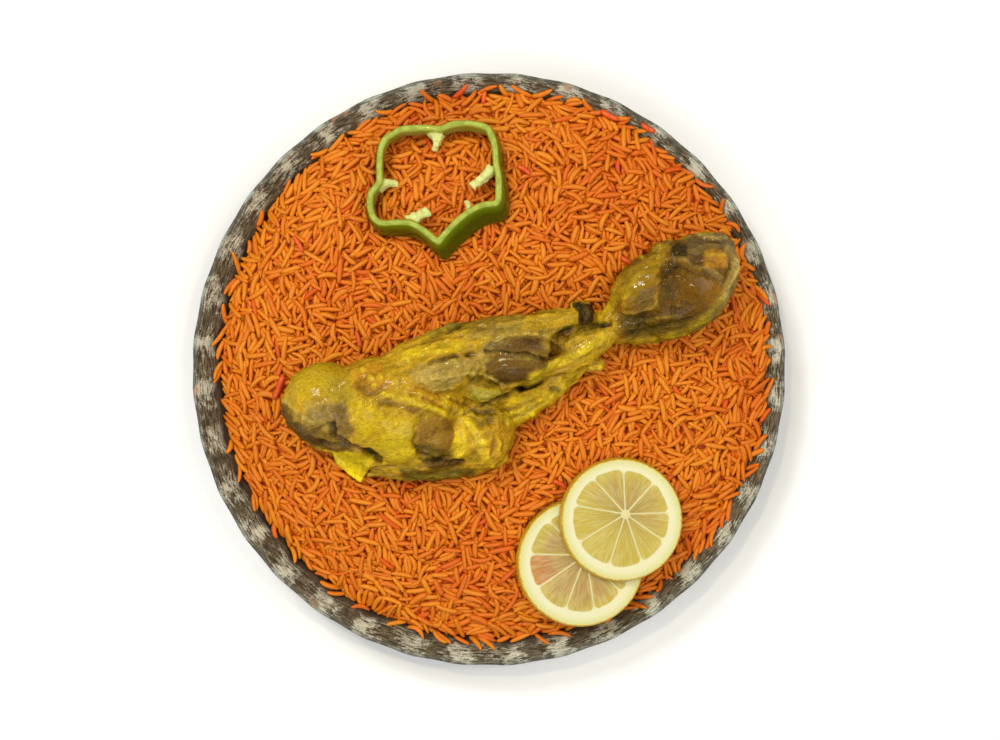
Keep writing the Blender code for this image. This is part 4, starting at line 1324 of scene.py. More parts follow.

# area or line, colour, strength, softness or width, height of the relief, points; millimetres
# dark marks that sink the relief are painted shadow in creases, slits and holes and under strands and lumps
shankMarks = (
    # round end
    ("area", "yellow", 0.7, 5, 0, ((-91, -6), (-84, 2), (-74, 3), (-66, -2), (-72, -10), (-86, -13))),
    ("area", "green", 0.4, 4, 0, ((-72, -4), (-62, -5), (-58, -14), (-66, -16), (-74, -10))),
    ("area", "greyTan", 0.85, 4, -0.2, ((-82, -15), (-70, -14), (-62, -17), (-60, -27), (-68, -29),
        (-80, -24))),
    ("area", "grey", 0.6, 3, 0, ((-88, -20), (-74, -16.4), (-66, -16), (-60.5, -27), (-64, -32),
        (-71, -25), (-83, -27))),
    ("area", "purple", 0.6, 2.5, 0, ((-71, -17.5), (-64, -17.5), (-62, -24), (-70, -22))),
    ("area", "plum", 0.9, 3, 0.2, ((-97, -10), (-93.4, -14), (-89, -20), (-84, -26), (-79, -30.5),
        (-72, -33), (-80, -36), (-98, -24))),
    ("line", "pale", 0.6, 2.0, 0.6, ((-93, -14), (-88, -18), (-82, -21), (-78, -24))),
    ("area", "greyTan", 0.4, 2.5, 0, ((-84, -21), (-76, -22), (-72, -25), (-72, -30), (-80, -29))),
    ("area", "blackAndShadow", 0.7, 1.8, -1.0, ((-72, -24.5), (-68.4, -24), (-67.6, -29), (-63, -32.6),
        (-66, -33.6), (-71.6, -30))),
    ("area", "brownAndShadow", 0.6, 2, 0, ((-79, -25), (-74, -25), (-74, -28), (-79, -28))),
    ("area", "plum", 0.66, 3, 0, ((-86, -24), (-76, -26), (-70, -29), (-63, -31), (-63, -36), (-74, -37),
        (-82, -32))),
    ("area", "purple", 0.5, 2, 0, ((-68, -24), (-61, -24), (-60, -31), (-66, -31))),
    ("line", "blackAndShadow", 0.9, 2.6, -1.8, ((-69.8, -24.6), (-69.2, -29.6))),
    ("line", "brownAndShadow", 0.85, 1.8, -1.2, ((-68, -30.5), (-65, -32), (-60, -35), (-55, -37.5))),
    ("line", "purple", 0.9, 4.2, 0.7, ((-75, -35), (-69, -35.6), (-62.5, -36.2))),
    ("line", "blackAndShadow", 0.7, 1.6, -0.8, ((-76, -33), (-68, -33.6), (-62, -34))),
    ("area", "blackAndShadow", 0.95, 2, -3.0, ((-57, -36), (-53, -36), (-48, -40), (-49, -42.5), (-54, -41))),
    ("area", "lemon", 1.0, 1.2, 0.3, ((-75, -37.4), (-62, -37), (-57, -38), (-52.6, -42), (-60, -55),
        (-74, -44))),
    ("line", "lemon", 0.9, 4.5, 0.2, ((-69, -40), (-66, -43), (-63, -48))),
    ("line", "orange", 0.4, 1.6, -0.4, ((-57, -38.5), (-57.5, -43), (-59, -49))),
    ("line", "gold", 0.9, 3.4, 0.4, ((-56, -48), (-52, -46), (-45, -45.6), (-38, -47))),
    ("line", "brownAndShadow", 0.7, 1.2, -0.6, ((-53.5, -45.5), (-48, -44), (-42, -44.4))),
    ("line", "pale", 0.5, 1.4, 0.4, ((-56, -50), (-50, -48), (-42, -48.4))),
    # thick middle
    ("area", "orange", 0.75, 4, 0, ((-62, 2), (-47, 3), (-44, -8), (-52, -12), (-60, -8))),
    ("line", "gold", 0.7, 2.4, 0.7, ((-70, -9), (-62, -3), (-54, 2))),
    ("line", "brownAndShadow", 0.7, 2.6, -0.9, ((-58, -8), (-54, -11.5), (-50, -11.5), (-46, -8))),
    ("area", "orange", 0.5, 3, 0, ((-35, -7), (-22, -8), (-21, -16), (-33, -15))),
    ("area", "yellow", 0.9, 5, 0.5, ((-62, -15), (-54, -14), (-46, -20), (-34, -22), (-33, -38),
        (-40, -43), (-50, -40), (-58, -30))),
    ("area", "brightAndHighlight", 0.55, 5, 0.3, ((-48, -28), (-38, -26), (-36, -38), (-46, -40))),
    ("line", "orange", 0.5, 2.4, -0.5, ((-56, -33), (-52, -30), (-47, -28))),
    ("line", "brightAndHighlight", 0.8, 3.0, 1.1, ((-46, -11), (-36, -13), (-26, -17.5), (-19, -20))),
    # painted shadow under the strand
    ("line", "brownAndShadow", 0.85, 2.6, -1.1, ((-47, -15), (-40, -16.5), (-31, -18.8), (-22, -20.6))),
    ("line", "gold", 0.6, 1.6, 0.6, ((-36, -10), (-28, -12), (-20, -16), (-13, -20))),
    ("line", "brownAndShadow", 0.6, 1.4, -0.6, ((-34, -11.5), (-27, -13.5), (-20, -18))),
    ("line", "yellow", 0.85, 4.4, 0.7, ((-38, 6), (-30, 7.5), (-20, 9), (-12, 10))),
    ("line", "brightAndHighlight", 0.6, 1.8, 0.4, ((-36, 4.5), (-28, 6.5), (-18, 8))),
    ("line", "darkAndShadow", 0.9, 2.2, -1.1, ((-26, 2.4), (-22, 4.2), (-17, 5.3), (-10, 6.2), (-6, 6.5))),
    ("line", "brownAndShadow", 0.55, 1.6, -0.6, ((-38, 9), (-30, 12), (-20, 14), (-12, 14.5))),
    ("line", "green", 0.8, 3.0, 0.5, ((-27, 16), (-18, 20), (-10, 21.5))),
    ("area", "tan", 0.75, 3, 0.2, ((-10, 12), (4, 15), (18, 15.5), (22, 23), (8, 24), (-8, 20))),
    ("line", "green", 0.5, 2.6, 0.3, ((8, 15.5), (14, 19), (17, 23))),
    ("area", "greyTan", 0.55, 4, 0, ((-10, 13), (2, 18), (14, 19), (36, 21), (36, 17), (24, 15), (8, 15))),
    ("area", "oliveAndShade", 0.42, 4, 0, ((-22, 16), (-8, 22), (4, 26), (36, 26), (34, 18), (11, 16), (-7, 15))),
    ("line", "darkAndShadow", 0.9, 2.2, -1.0, ((-17, 17.6), (-12, 19.6), (-6, 22.6), (-2, 24.4))),
    ("line", "green", 0.8, 1.6, 0.7, ((-19, 18.6), (-13, 21.6), (-7, 24.6))),
    ("line", "oliveAndShade", 0.6, 1.8, -0.6, ((-2, 24.4), (8, 25.4), (18, 26), (30, 25.8))),
    ("line", "tan", 0.5, 1.6, 0.5, ((-4, 19), (8, 20.6), (20, 20.4), (32, 20.6))),
    ("line", "oliveAndShade", 0.5, 1.6, -0.5, ((-30, 12.5), (-22, 16), (-12, 18), (-2, 18))),
    ("area", "greyTan", 0.85, 2.2, 0.4, ((-37, -1.5), (-30, 2), (-20, 4), (-10, 5), (2, 4), (0, 0),
        (-10, -2), (-13, -6), (-20, -9.5), (-28, -8.5), (-34, -5))),
    ("area", "pale", 0.12, 3, 0.2, ((-34, -1), (-22, -2), (-16, -6), (-24, -9), (-32, -6))),
    ("line", "brownAndShadow", 0.5, 1.6, -0.8, ((-36.5, -3), (-30, -8.6), (-22, -10.5), (-15, -9.5))),
    ("line", "pale", 0.5, 1.2, 0.4, ((-25, -4), (-20, -3.5), (-14, -2.5), (-8, -2))),
    # lobes of dark muscle
    ("area", "tan", 0.7, 1.8, 0.3, ((2, 9), (8, 14), (14, 15.2), (26, 14.8), (28.8, 12), (28, 7), (22, 6),
        (12, 7.4))),
    ("area", "greyTan", 0.85, 2, 0, ((-7, 4), (-3, 10), (3, 14), (10, 15.5), (11, 9), (3, 7), (-1, 3))),
    ("area", "grey", 0.6, 2, 0, ((-3, 8), (3, 13), (12, 14.6), (24, 14), (26, 8), (12, 8), (2, 6))),
    ("area", "purple", 0.9, 2, 0.2, ((7, 9), (11, 13), (18, 14), (23, 13.4), (23, 9), (15, 8))),
    ("area", "plum", 0.75, 2.2, 0, ((16, 13.4), (22.5, 13), (22.5, 9.4), (17, 10))),
    ("line", "pale", 0.55, 1.2, 0.4, ((3, 12), (9, 15), (18, 15.8), (27, 14.6))),
    ("line", "darkAndShadow", 0.8, 1.8, -1.1, ((-1, 7.6), (8, 7), (18, 6.6), (24, 4.6), (27, 4))),
    ("area", "purple", 0.9, 2, 0.3, ((-1, 3), (4, 6.4), (12, 7), (20, 6.4), (25.6, 3.4), (23, -0.8),
        (15, -4.6), (6, -6.5), (-2, -3))),
    ("area", "green", 0.2, 2.4, 0, ((14, 6.6), (22, 6), (25, 3), (22, 0), (18, 3))),
    ("area", "purple", 0.6, 1.6, 0, ((1, 11), (10, 10.4), (26, 11), (28, 6), (25, -0.5), (21, 1), (20, 6),
        (4, 8))),
    ("line", "darkAndShadow", 0.7, 1.2, -0.6, ((0, 7.8), (8, 7.2), (18, 6.8), (25, 5))),
    ("area", "plum", 0.6, 3, -0.7, ((2, -2), (10, 0), (20, -0.5), (17, -4.5), (8, -7.4), (0, -5))),
    ("line", "pale", 0.4, 1.4, 0.3, ((5, 3.5), (12, 5), (18, 4.2))),
    ("area", "brownAndShadow", 0.95, 1.8, -1.3, ((28.4, 12.5), (35, 11), (35.5, 7), (28, 3), (26, 5))),
    ("line", "pale", 0.6, 1.0, 0.6, ((29, 13), (32, 12), (34.8, 9))),
    ("line", "blackAndShadow", 0.95, 3.6, -2.0, ((30, 14.5), (35, 17), (40, 18.6))),
    ("line", "brownAndShadow", 0.8, 1.6, 0.5, ((31, 13.6), (36, 15.6), (41, 17.6))),
    ("line", "oliveAndShade", 0.85, 3.0, 0.2, ((32, 10.6), (40, 14.4), (47, 17.6), (53, 19.6))),
    # the small muscle under them
    ("area", "oliveAndShade", 0.75, 2, -0.3, ((-11, -3), (-4, -3), (5, -7), (-1, -9), (-8, -7))),
    ("line", "pale", 0.65, 1.3, 0.6, ((-12, -2.4), (-5, -1.6), (1, -3.6), (6, -6.6))),
    ("area", "green", 0.8, 2.4, 0.5, ((-9, -8), (0, -9), (8, -9), (4, -13.6), (-4, -14), (-9, -11.5))),
    # painted shadow under the small muscle
    ("line", "blackAndShadow", 0.9, 2.4, -1.5, ((-6, -16.6), (0, -15.6), (6, -12.6), (12, -9.4), (18, -6.6))),
    ("line", "brownAndShadow", 0.7, 2.4, -0.8, ((-18, -13), (-13, -15.5), (-9, -16.8))),
    ("area", "oliveAndShade", 0.75, 3, -0.7, ((-10, -18), (2, -17.6), (3, -24), (-4, -27), (-8, -24))),
    ("line", "darkAndShadow", 0.75, 2.0, -0.8, ((-8, -18.6), (-2, -20), (3, -19.4))),
    ("line", "gold", 0.6, 1.4, 0.6, ((-9, -20.4), (-3, -22.6), (0, -26))),
    # underside of the middle: cut chunk, fat and its ruffled edge
    ("area", "chunk", 1.0, 1.0, 0.6, ((-25, -20.6), (-19, -22.6), (-16, -29), (-18, -37), (-24, -40),
        (-30.4, -37.4), (-33.2, -30.5), (-31, -23.4))),
    ("area", "oliveAndShade", 0.85, 3.4, -0.3, ((-34, -33), (-26, -34), (-17, -38), (-16, -41), (-30, -40))),
    ("area", "brownAndShadow", 0.6, 2.6, -0.2, ((-21, -22), (-16, -23), (-16, -28), (-20, -27))),
    ("line", "darkAndShadow", 0.55, 1.6, -1.0, ((-28, -20.6), (-32.6, -26), (-33.8, -32), (-31, -37.6), (-24, -41),
        (-16, -40))),
    ("line", "brownAndShadow", 0.5, 1.1, -0.4, ((-25, -26.6), (-20, -27), (-16, -27))),
    ("line", "brownAndShadow", 0.5, 1.1, -0.4, ((-31, -32), (-26, -30.6), (-24, -27))),
    ("area", "brightAndHighlight", 0.6, 2, 0.3, ((-16, -27.6), (-11, -27), (-9.6, -34), (-11, -39), (-15, -40.6))),
    ("line", "brightAndHighlight", 0.85, 5.0, 1.0, ((-12, -22), (-7, -28), (-2.5, -34), (-1, -39))),
    ("line", "gold", 0.7, 1.8, -0.6, ((-11, -26), (-7, -33), (-6, -40))),
    ("area", "orange", 0.5, 3, 0.1, ((-1, -26), (8, -22), (12, -30), (4, -41), (-1, -40))),
    ("line", "brightAndHighlight", 0.6, 1.8, 0.6, ((2, -28), (5, -33), (4, -39))),
    ("line", "brownAndShadow", 0.6, 1.8, -0.8, ((0, -24), (3, -30), (1, -38))),
    ("line", "brownAndShadow", 0.5, 1.6, -0.7, ((7, -21), (8.5, -28), (6, -36))),
    ("area", "plum", 0.9, 2.4, -0.5, ((-31, -41), (-23, -40.4), (-14, -41), (-10, -42.6), (-16, -45.6),
        (-26, -46.4))),
    # painted shade on the belly's lower side
    ("area", "oliveAndShade", 0.9, 3, 0, ((-40, -45), (-20, -46), (-6, -45), (-6, -52), (-24, -53), (-40, -51))),
    ("line", "purple", 0.7, 1.8, 0.6, ((-32, -43.6), (-24, -42.8), (-15, -43.2))),
    ("line", "blackAndShadow", 0.85, 1.8, -1.0, ((-31, -40.8), (-25, -41.6), (-18, -42), (-12, -42.4))),
    ("line", "green", 0.5, 1.4, 0.4, ((-34, -48.6), (-24, -49.2), (-14, -48.6))),
    ("area", "yellow", 0.75, 3, 0, ((8, -14), (20, -12), (34, -7), (42, -2), (40, -6), (28, -15),
        (16, -24), (8, -26))),
    ("line", "brownAndShadow", 0.7, 2.0, -0.9, ((6, -18), (12, -17.6), (18, -15), (24, -13))),
    ("area", "darkAndShadow", 0.7, 1.8, -0.6, ((28, -8), (33, -8.6), (33, -11.5), (28, -11))),
    ("line", "oliveAndShade", 0.6, 2.2, -0.6, ((10, -22), (17, -19.6), (23, -16.4))),
    # strap, its slit, the narrow end and the neck
    ("area", "gold", 0.95, 1.8, 0.3, ((10, -7.4), (22, -3.4), (32, 1.6), (42, 8.4), (52, 17), (56, 16),
        (55, 9), (46, 2), (34, -2), (20, -7.6))),
    # painted highlight along the strap's upper side
    ("line", "brightAndHighlight", 0.95, 4.2, 0.8, ((20, -3.8), (30, 1), (40, 7), (48, 11.5), (53, 14.6))),
    ("line", "orange", 0.7, 1.6, -0.4, ((27, -2), (33, 0.6), (40, 3))),
    ("line", "brownAndShadow", 0.4, 1.4, -0.4, ((40, 4), (47, 8), (53, 10.4))),
    # painted shadow in the slit
    ("line", "blackAndShadow", 0.97, 1.6, -2.2, ((14, -9.4), (22, -6.8), (28, -4.6), (35, -2.2))),
    ("line", "pale", 0.5, 1.8, 0.4, ((54, 7.4), (62, 11), (72, 14))),
    ("area", "tan", 0.6, 2.4, 0.4, ((45, 3.6), (52, 4.4), (53, -0.6), (46, -1.6))),
    ("area", "gold", 0.75, 2, 0.2, ((14, 17), (28, 18), (39, 20), (39, 26), (18, 25))),
    ("line", "tan", 0.7, 2.0, 0.4, ((20, 22), (30, 22.6), (38, 23.4))),
    ("line", "oliveAndShade", 0.8, 3.0, -0.6, ((24, 16.4), (32, 18), (39, 20))),
    ("line", "blackAndShadow", 0.95, 2.6, -1.6, ((42, 18.4), (48, 20), (55, 20.4))),
    ("area", "blackAndShadow", 0.97, 1.2, 0.4, ((40.5, 20), (47, 20), (48, 29.5), (43.5, 30), (38, 30), (38, 28),
        (41, 26))),
    ("line", "brownAndShadow", 0.6, 1.0, 0.5, ((43.6, 21), (44, 25), (43, 29))),
    ("line", "yellow", 0.9, 3.6, 0.7, ((50, 24), (54, 28), (58, 32))),
    ("line", "brownAndShadow", 0.6, 2.0, -0.7, ((55, 22), (57, 26), (60, 30))),
    ("area", "gold", 0.6, 2, 0.2, ((55, 16), (61, 18), (61, 25), (56, 24))),
    # knuckle
    ("area", "amber", 0.95, 4, 0, ((58, 14), (58, 30), (62, 47), (76, 60), (112, 64), (118, 46), (106, 22),
        (80, 12))),
    ("area", "gold", 0.5, 3.4, 0.4, ((58, 31), (59, 40), (63, 45), (71, 50), (78, 58), (83, 55), (79, 46),
        (75, 40), (68, 32), (62, 28))),
    ("line", "yellow", 0.6, 3.0, 0.3, ((62, 33), (66, 40), (71, 44))),
    ("line", "brightAndHighlight", 0.45, 2.0, 0.3, ((77, 50), (79, 54), (82, 56))),
    ("area", "blackAndShadow", 0.8, 2.6, -1.2, ((76, 42), (79.6, 48), (84, 50), (86, 47), (82, 43), (78, 40))),
    ("line", "brownAndShadow", 0.9, 1.8, 0.5, ((77, 43), (80, 46), (83.5, 49))),
    ("area", "grey", 0.9, 3, 0.2, ((88, 52), (91, 62), (108, 64), (113, 57), (108, 54), (97, 54),
        (92, 46))),
    ("line", "plum", 0.7, 2.0, -0.7, ((92, 59), (100, 57.6), (107, 58))),
    ("line", "pale", 0.5, 1.4, 0.5, ((96, 61), (102, 59.6), (109, 60.4))),
    ("line", "yellow", 0.5, 2.4, 0.2, ((88, 60), (96, 62), (103, 62.6))),
    ("area", "plum", 0.75, 2.4, -0.5, ((90, 47), (91, 52), (97, 53), (97, 46))),
    ("area", "blackAndShadow", 0.92, 1.5, 0.9, ((84, 51), (83.6, 55), (87, 57.4), (90, 55.6), (90, 51.4),
        (87, 50))),
    ("area", "orange", 0.95, 2, 0.4, ((97.6, 45.6), (98, 53.6), (108, 53.6), (108.3, 46))),
    ("line", "brightAndHighlight", 0.35, 2.0, 0.2, ((99, 52), (103, 51), (107, 52))),
    ("line", "pale", 0.35, 2.0, 0.8, ((84.2, 49.4), (88, 49.6), (93, 46.4), (100, 44.8), (106.5, 41))),
    ("line", "plum", 0.7, 1.8, -0.7, ((86, 46.4), (92, 43.8), (99, 42.6), (104, 40))),
    ("area", "amber", 0.6, 4, 0.4, ((86, 30), (86, 43), (98, 43), (98, 30))),
    ("area", "orange", 0.5, 4, 0.2, ((98, 29), (97, 41), (105, 41), (107, 33), (103, 28))),
    ("line", "greyTan", 0.9, 5.6, 0.3, ((110, 55), (113, 48), (112, 43), (109, 37), (106, 31), (102, 26),
        (95, 20))),
    ("line", "pale", 0.45, 2.0, 0.5, ((113, 52), (113.4, 46), (110, 38), (106, 32))),
    ("line", "darkAndShadow", 0.6, 1.4, -0.7, ((110, 52), (110, 46), (107, 40))),
    ("area", "grey", 0.85, 2, -0.6, ((67, 29), (68, 35), (74, 38), (75.6, 33), (74, 29))),
    ("line", "tan", 0.6, 2.4, 1.0, ((77.6, 42), (76, 38), (75.8, 33), (77, 29))),
    ("area", "grey", 0.8, 2.4, -0.3, ((78.5, 31), (79, 39), (85, 39), (85.6, 32))),
    ("line", "tan", 0.6, 1.8, 0.8, ((62.5, 25.6), (68, 26.6), (73, 28), (77, 30))),
    # painted shade in the hollow under the knuckle
    ("area", "oliveAndShade", 0.85, 3, -0.4, ((62, 15), (62, 25), (70, 26), (74, 22), (72, 16))),
    ("area", "darkAndShadow", 0.45, 3, -0.3, ((68, 16), (69, 27), (88, 28), (96, 26), (94, 20), (82, 16))),
    ("area", "darkAndShadow", 0.5, 2.4, -0.3, ((77, 28), (76, 40), (84, 50), (87, 44), (85, 33), (84, 27))),
    ("area", "blackAndShadow", 0.6, 3, -0.3, ((62, 16), (63, 22), (70, 22), (72, 17))),
    ("line", "tan", 0.5, 1.8, 0.6, ((72, 22), (78, 23.4), (85, 23.6))),
    ("line", "blackAndShadow", 0.9, 2.2, -1.2, ((62, 15.8), (70, 16.4), (77.6, 19.6), (85, 20.6), (92, 22.6))),
    ("line", "oliveAndShade", 0.7, 3.0, 0.4, ((64, 13), (72, 13.6), (80, 14.6), (90, 17), (99, 22))),
    ("line", "oliveAndShade", 0.6, 2.0, -0.4, ((78, 17), (88, 19), (96, 23))),
    ("area", "oliveAndShade", 0.5, 3, -0.2, ((58, 17), (60, 23), (70, 24), (84, 22), (96, 25), (90, 19),
        (74, 14))),
    ("line", "yellow", 0.7, 3, 0.3, ((66, 12.6), (78, 14), (90, 17.6), (99, 24), (105, 31))),
    ("line", "plum", 0.6, 1.6, -0.5, ((79, 46), (80, 38), (84, 32), (92, 28.6))),
    ("line", "purple", 0.5, 1.8, -0.3, ((92, 46), (100, 44), (106, 40.6))),
    ("area", "oliveAndShade", 0.45, 3, 0, ((80, 14), (92, 16), (104, 24), (108, 32), (100, 28), (90, 21))),
    ("area", "darkAndShadow", 0.14, 5, 0, ((62, 18), (62, 46), (76, 58), (98, 60), (108, 46), (102, 26), (84, 16))),
)

# little knobs of fat: place and radius, millimetres
shankKnobs = (
    (-52.5, -4.6, 2.2), (-47.9, -3.4, 2.0), (-51, -8, 1.6), (-56, -1, 1.6), (-12.4, -19.2, 1.5),
    (-19.8, -15.2, 1.7), (-58, -20, 1.3), (-30, -12, 1.3), (-41, -24, 1.6), (8, -16, 1.6),
    (2, -44, 1.6), (12, -31, 1.8), (-13, -39, 2.0), (20, -20, 1.8),
    (28, -13.5, 1.8), (35, -8, 1.6), (39, -1.5, 2.2), (84, 60, 1.6), (70, 51, 1.4),
    (47, 2, 1.8), (51, 1, 1.6), (-18, -12, 1.3), (-8, -20, 1.4), (16, -17, 1.5),
)


def distanceToLine(x, y, points, closed=False):
    ends = list(zip(points, points[1:] + points[:1])) if closed else list(zip(points, points[1:]))
    best = np.full(len(x), 1e9)
    for (ax, ay), (bx, by) in ends:
        vx, vy = bx - ax, by - ay
        share = ((x - ax) * vx + (y - ay) * vy) / (vx * vx + vy * vy)
        share = np.clip(share, 0, 1)
        best = np.minimum(best, np.hypot(x - ax - vx * share, y - ay - vy * share))
    return best


def insideLoop(x, y, points):
    inside = np.zeros(len(x), dtype=bool)
    for (ax, ay), (bx, by) in zip(points, points[1:] + points[:1]):
        if ay == by:
            continue
        crosses = ((ay > y) != (by > y)) & (x < (bx - ax) * (y - ay) / (by - ay) + ax)
        inside ^= crosses
    return inside


def areaMask(x, y, size, points):
    away = distanceToLine(x, y, points, closed=True)
    signed = np.where(insideLoop(x, y, points), away, -away)
    return softStep(-size * 0.5, size * 0.5, signed)


def addLump(bm, place, size, turn):
    x, y, over = (part * mm for part in place)
    middle = Vector((x, y, heapAt(x, y) + over))
    matrix = Matrix.Translation(middle)
    matrix @= Matrix.Rotation(math.radians(turn), 4, "Z")
    matrix @= Matrix.Diagonal((*(part * mm / 2 for part in size), 1))
    made = bmesh.ops.create_icosphere(bm, subdivisions=4, radius=1, matrix=matrix)
    for vert in made["verts"]:
        uneven = noise.noise(vert.co / shank["roughLength"] + Vector((size[0], size[1], turn)))
        vert.co += (vert.co - middle).normalized() * uneven * shank["roughness"]


def addSkin(bm, outline, over, thick):
    low, high = [], []
    for x, y in outline:
        ground = heapAt(x * mm, y * mm) + over * mm
        low.append(bm.verts.new((x * mm, y * mm, ground)))
        high.append(bm.verts.new((x * mm, y * mm, ground + thick * mm)))
    faces = [bm.faces.new(low[::-1]), bm.faces.new(high)]
    for k in range(len(low)):
        n = (k + 1) % len(low)
        faces.append(bm.faces.new((low[k], low[n], high[n], high[k])))
    bmesh.ops.recalc_face_normals(bm, faces=faces)


def ridged(values):
    # sharp crests from smooth noise, about -1 to 1
    return 1 - 2.6 * np.abs(values)


def sculptShank(mesh):
    points, normals = pointsOf(mesh), normalsOf(mesh)
    x, y = points[:, 0] / mm, points[:, 1] / mm
    coarse, small = shank["warpSizes"]
    wx = x + noiseAt(points, coarse, 1) + 0.5 * noiseAt(points, small, 3)
    wy = y + noiseAt(points, coarse, 2) + 0.5 * noiseAt(points, small, 4)
    fading = np.clip(0.8 + 0.9 * noiseAt(points, 4.5 * mm, 9), 0.3, 1)
    colours = np.tile(np.array(flesh["gold"]), (len(points), 1))
    relief = np.zeros(len(points))
    begins, full = shank["lineEdge"]
    # each mark lays its colour and raises or sinks the relief; the dark sunk ones are painted shadow
    for shape, colour, strength, size, height, corners in shankMarks:
        if shape == "line":
            mask = softStep(size * begins, size * full, distanceToLine(wx, wy, corners)) * fading
        else:
            mask = areaMask(wx, wy, size, corners)
        relief += mask * height
        share = (mask * strength)[:, None]
        colours = colours * (1 - share) + np.array(flesh[colour]) * share
    begins, full = shank["knobEdge"]
    for kx, ky, radius in shankKnobs:
        share = softStep(radius * begins, radius * full, np.hypot(wx - kx, wy - ky))
        relief += share * radius * shank["knobHeight"]
        share = (share * shank["knobStrength"])[:, None]
        colours = colours * (1 - share) + np.array(flesh["brightAndHighlight"]) * share
    calm = np.zeros(len(points))
    for corners in shank["calm"]:
        calm = np.maximum(calm, areaMask(wx, wy, 4, corners))
    # fibres and folds run along the muscle
    c, s = math.cos(shank["grain"]), math.sin(shank["grain"])
    along = points @ np.array((c, s, 0))
    across = points @ np.array((-s, c, 0))
    drawn = np.stack((along / shank["foldStretch"], across, points[:, 2]), axis=1)
    strands = np.stack((along / shank["fineStretch"], across, points[:, 2]), axis=1)
    fold = ridged(noiseAt(drawn, shank["foldSize"], 7)) * (1 - 0.9 * calm)
    fine = ridged(noiseAt(strands, shank["fineSize"], 6)) * (1 - 0.8 * calm)
    lumps = noiseAt(points, shank["lumpSize"], 8) * (1 - 0.8 * calm)
    relief += shank["foldHeight"] * fold + shank["fineHeight"] * fine + shank["lumpHeight"] * lumps
    broad = noiseAt(points, shank["broadSize"], 12) * (1 - 0.5 * calm)
    side = softStep(0.0, 0.75, normals[:, 2])
    shade = 1 + shank["foldShade"] * fold + shank["fineShade"] * fine
    shade = shade + shank["lumpShade"] * lumps + shank["broadShade"] * broad
    steep, top = shank["sideShade"]
    shade = shade * (steep + top * side)
    colours = colours * np.clip(shade, *shank["shadeLimits"])[:, None]
    movePoints(mesh, points + normals * (relief * mm)[:, None])
    points = pointsOf(mesh)
    ground = heapHeights(points[:, 0], points[:, 1])[0] + heap["gap"]
    points[:, 2] = np.maximum(points[:, 2], ground)
    movePoints(mesh, points)
    up = normalsOf(mesh)[:, 2]
    wet = softStep(-0.25, 0.25, noiseAt(points, shank["wetSize"], 15))
    least, more = shank["shine"]
    keepValues(mesh, "shine", softStep(*shank["wetSlope"], up) * (least + more * wet))
    layer = mesh.attributes.new("flesh", "FLOAT_COLOR", "POINT")
    opaque = np.column_stack((colours, np.ones(len(points))))
    layer.data.foreach_set("color", opaque.astype(np.float32).ravel())


def makeShankLook():
    look = Look(
        "cookedMeat", 0.2, Subsurface_Weight=0.1, Subsurface_Scale=2 * mm,
        Subsurface_Radius=(1.0, 0.55, 0.15), Specular_IOR_Level=0.15,
        Specular_Tint=(1, 0.84, 0.42, 1), Coat_Roughness=0.08,
    )
    look.put(look.attribute("shine"), look.shader.inputs["Coat Weight"])
    body = look.attribute("flesh", "Color")
    deep = look.mix(1.0, body, flesh["stain"], "MULTIPLY")
    body = look.mix(look.times(look.blotch(1.8, 0.42, 0.66, 4), 0.28), body, deep)
    light = look.mix(0.35, body, flesh["brightAndHighlight"])
    body = look.mix(look.times(look.blotch(0.9, 0.56, 0.72, 3), 0.28), body, light)
    look.colour(body)
    look.roughness(look.between(look.blotch(3.0, 0.4, 0.6, 3), 0.3, 0.5))
    fine = look.plus(look.blotch(1.1, 0.3, 0.7, 3), look.times(look.pitted(2.0), 0.7))
    look.bump(fine, 0.45, 0.9)
    return look.material


def makeShank():
    bm = bmesh.new()
    for place, size, turn in shank["lumps"].values():
        addLump(bm, place, size, turn)
    for outline, over, thick in shank["skins"]:
        addSkin(bm, outline, over, thick)
    piece = pieceFrom(bm, "shankMeat", [])
    fuseLumps(piece, shank["cell"], shank["softenings"])
    sculptShank(piece.data)
    piece.data.materials.append(makeShankLook())
    piece.data.shade_smooth()
    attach(piece, "root")
    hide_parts("lamb_shank")
    print("shank done", len(piece.data.polygons))
    return piece


# Camera, lights and floor

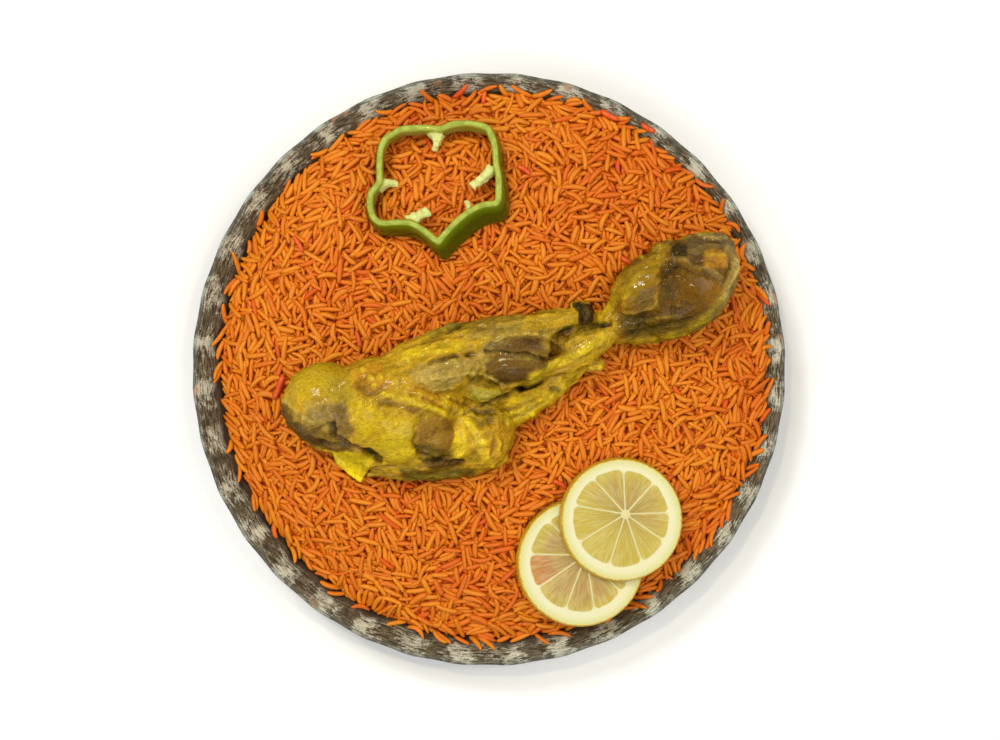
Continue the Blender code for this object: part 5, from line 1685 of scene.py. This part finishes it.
studio = {
    "lens": 50,
    "sensor": 36,
    "cameraHeight": 0.681,
    "cameraX": 5.23 * mm,
    "cameraY": -0.39 * mm,
    "nearest": 0.05,
    "aim": (0, 0, 0.03),
    # place, size and power
    "lamps": {
        "key": ((-0.45, 0.6, 1.0), 0.3, 5.8),
        "left": ((-0.75, -0.35, 1.0), 0.7, 3.9),
        "right": ((0.8, 0.3, 1.0), 0.7, 3.6),
        "front": ((0.25, -0.8, 1.0), 0.7, 3.4),
        "glint": ((-0.22, 0.32, 1.1), 0.05, 1.9),
        "secondGlint": ((0.34, 0.16, 1.1), 0.05, 1.2),
    },
    "glintSize": 0.05,
    "glintColour": (1, 0.86, 0.55),
    "air": 0.3,
    "floorColour": (0.95, 0.95, 0.95),
}


def makeStudio():
    camera = bpy.data.objects.new("camera", bpy.data.cameras.new("camera"))
    camera.data.lens = studio["lens"]
    camera.data.sensor_width = studio["sensor"]
    camera.data.clip_start = studio["nearest"]
    camera.location = (studio["cameraX"], studio["cameraY"], studio["cameraHeight"])
    scene.collection.objects.link(camera)
    scene.camera = camera
    for name, (place, size, power) in studio["lamps"].items():
        lamp = bpy.data.lights.new(name, "AREA")
        lamp.size = size
        lamp.energy = power
        if size == studio["glintSize"]:
            lamp.color = studio["glintColour"]
        light = bpy.data.objects.new(name, lamp)
        light.location = place
        towards = Vector(studio["aim"]) - Vector(place)
        light.rotation_euler = towards.to_track_quat("-Z", "Y").to_euler()
        scene.collection.objects.link(light)
    world = bpy.data.worlds.new("studio")
    world.use_nodes = True
    air = world.node_tree.nodes["Background"]
    air.inputs["Color"].default_value = (1, 1, 1, 1)
    air.inputs["Strength"].default_value = studio["air"]
    scene.world = world
    bm = bmesh.new()
    bmesh.ops.create_grid(bm, x_segments=4, y_segments=4, size=4)
    paper = Look("paper", 0.9)
    paper.colour(studio["floorColour"])
    floor = pieceFrom(bm, "floor", [paper.material], smooth=False)


makeStudio()
makeTray()
lemonLook = makeLemonLook()
toppings = [makeLemon(node, lemonLook) for node in lemonSlices]
toppings.append(makePepper())
toppings.append(makeShank())
makeRice(toppings)
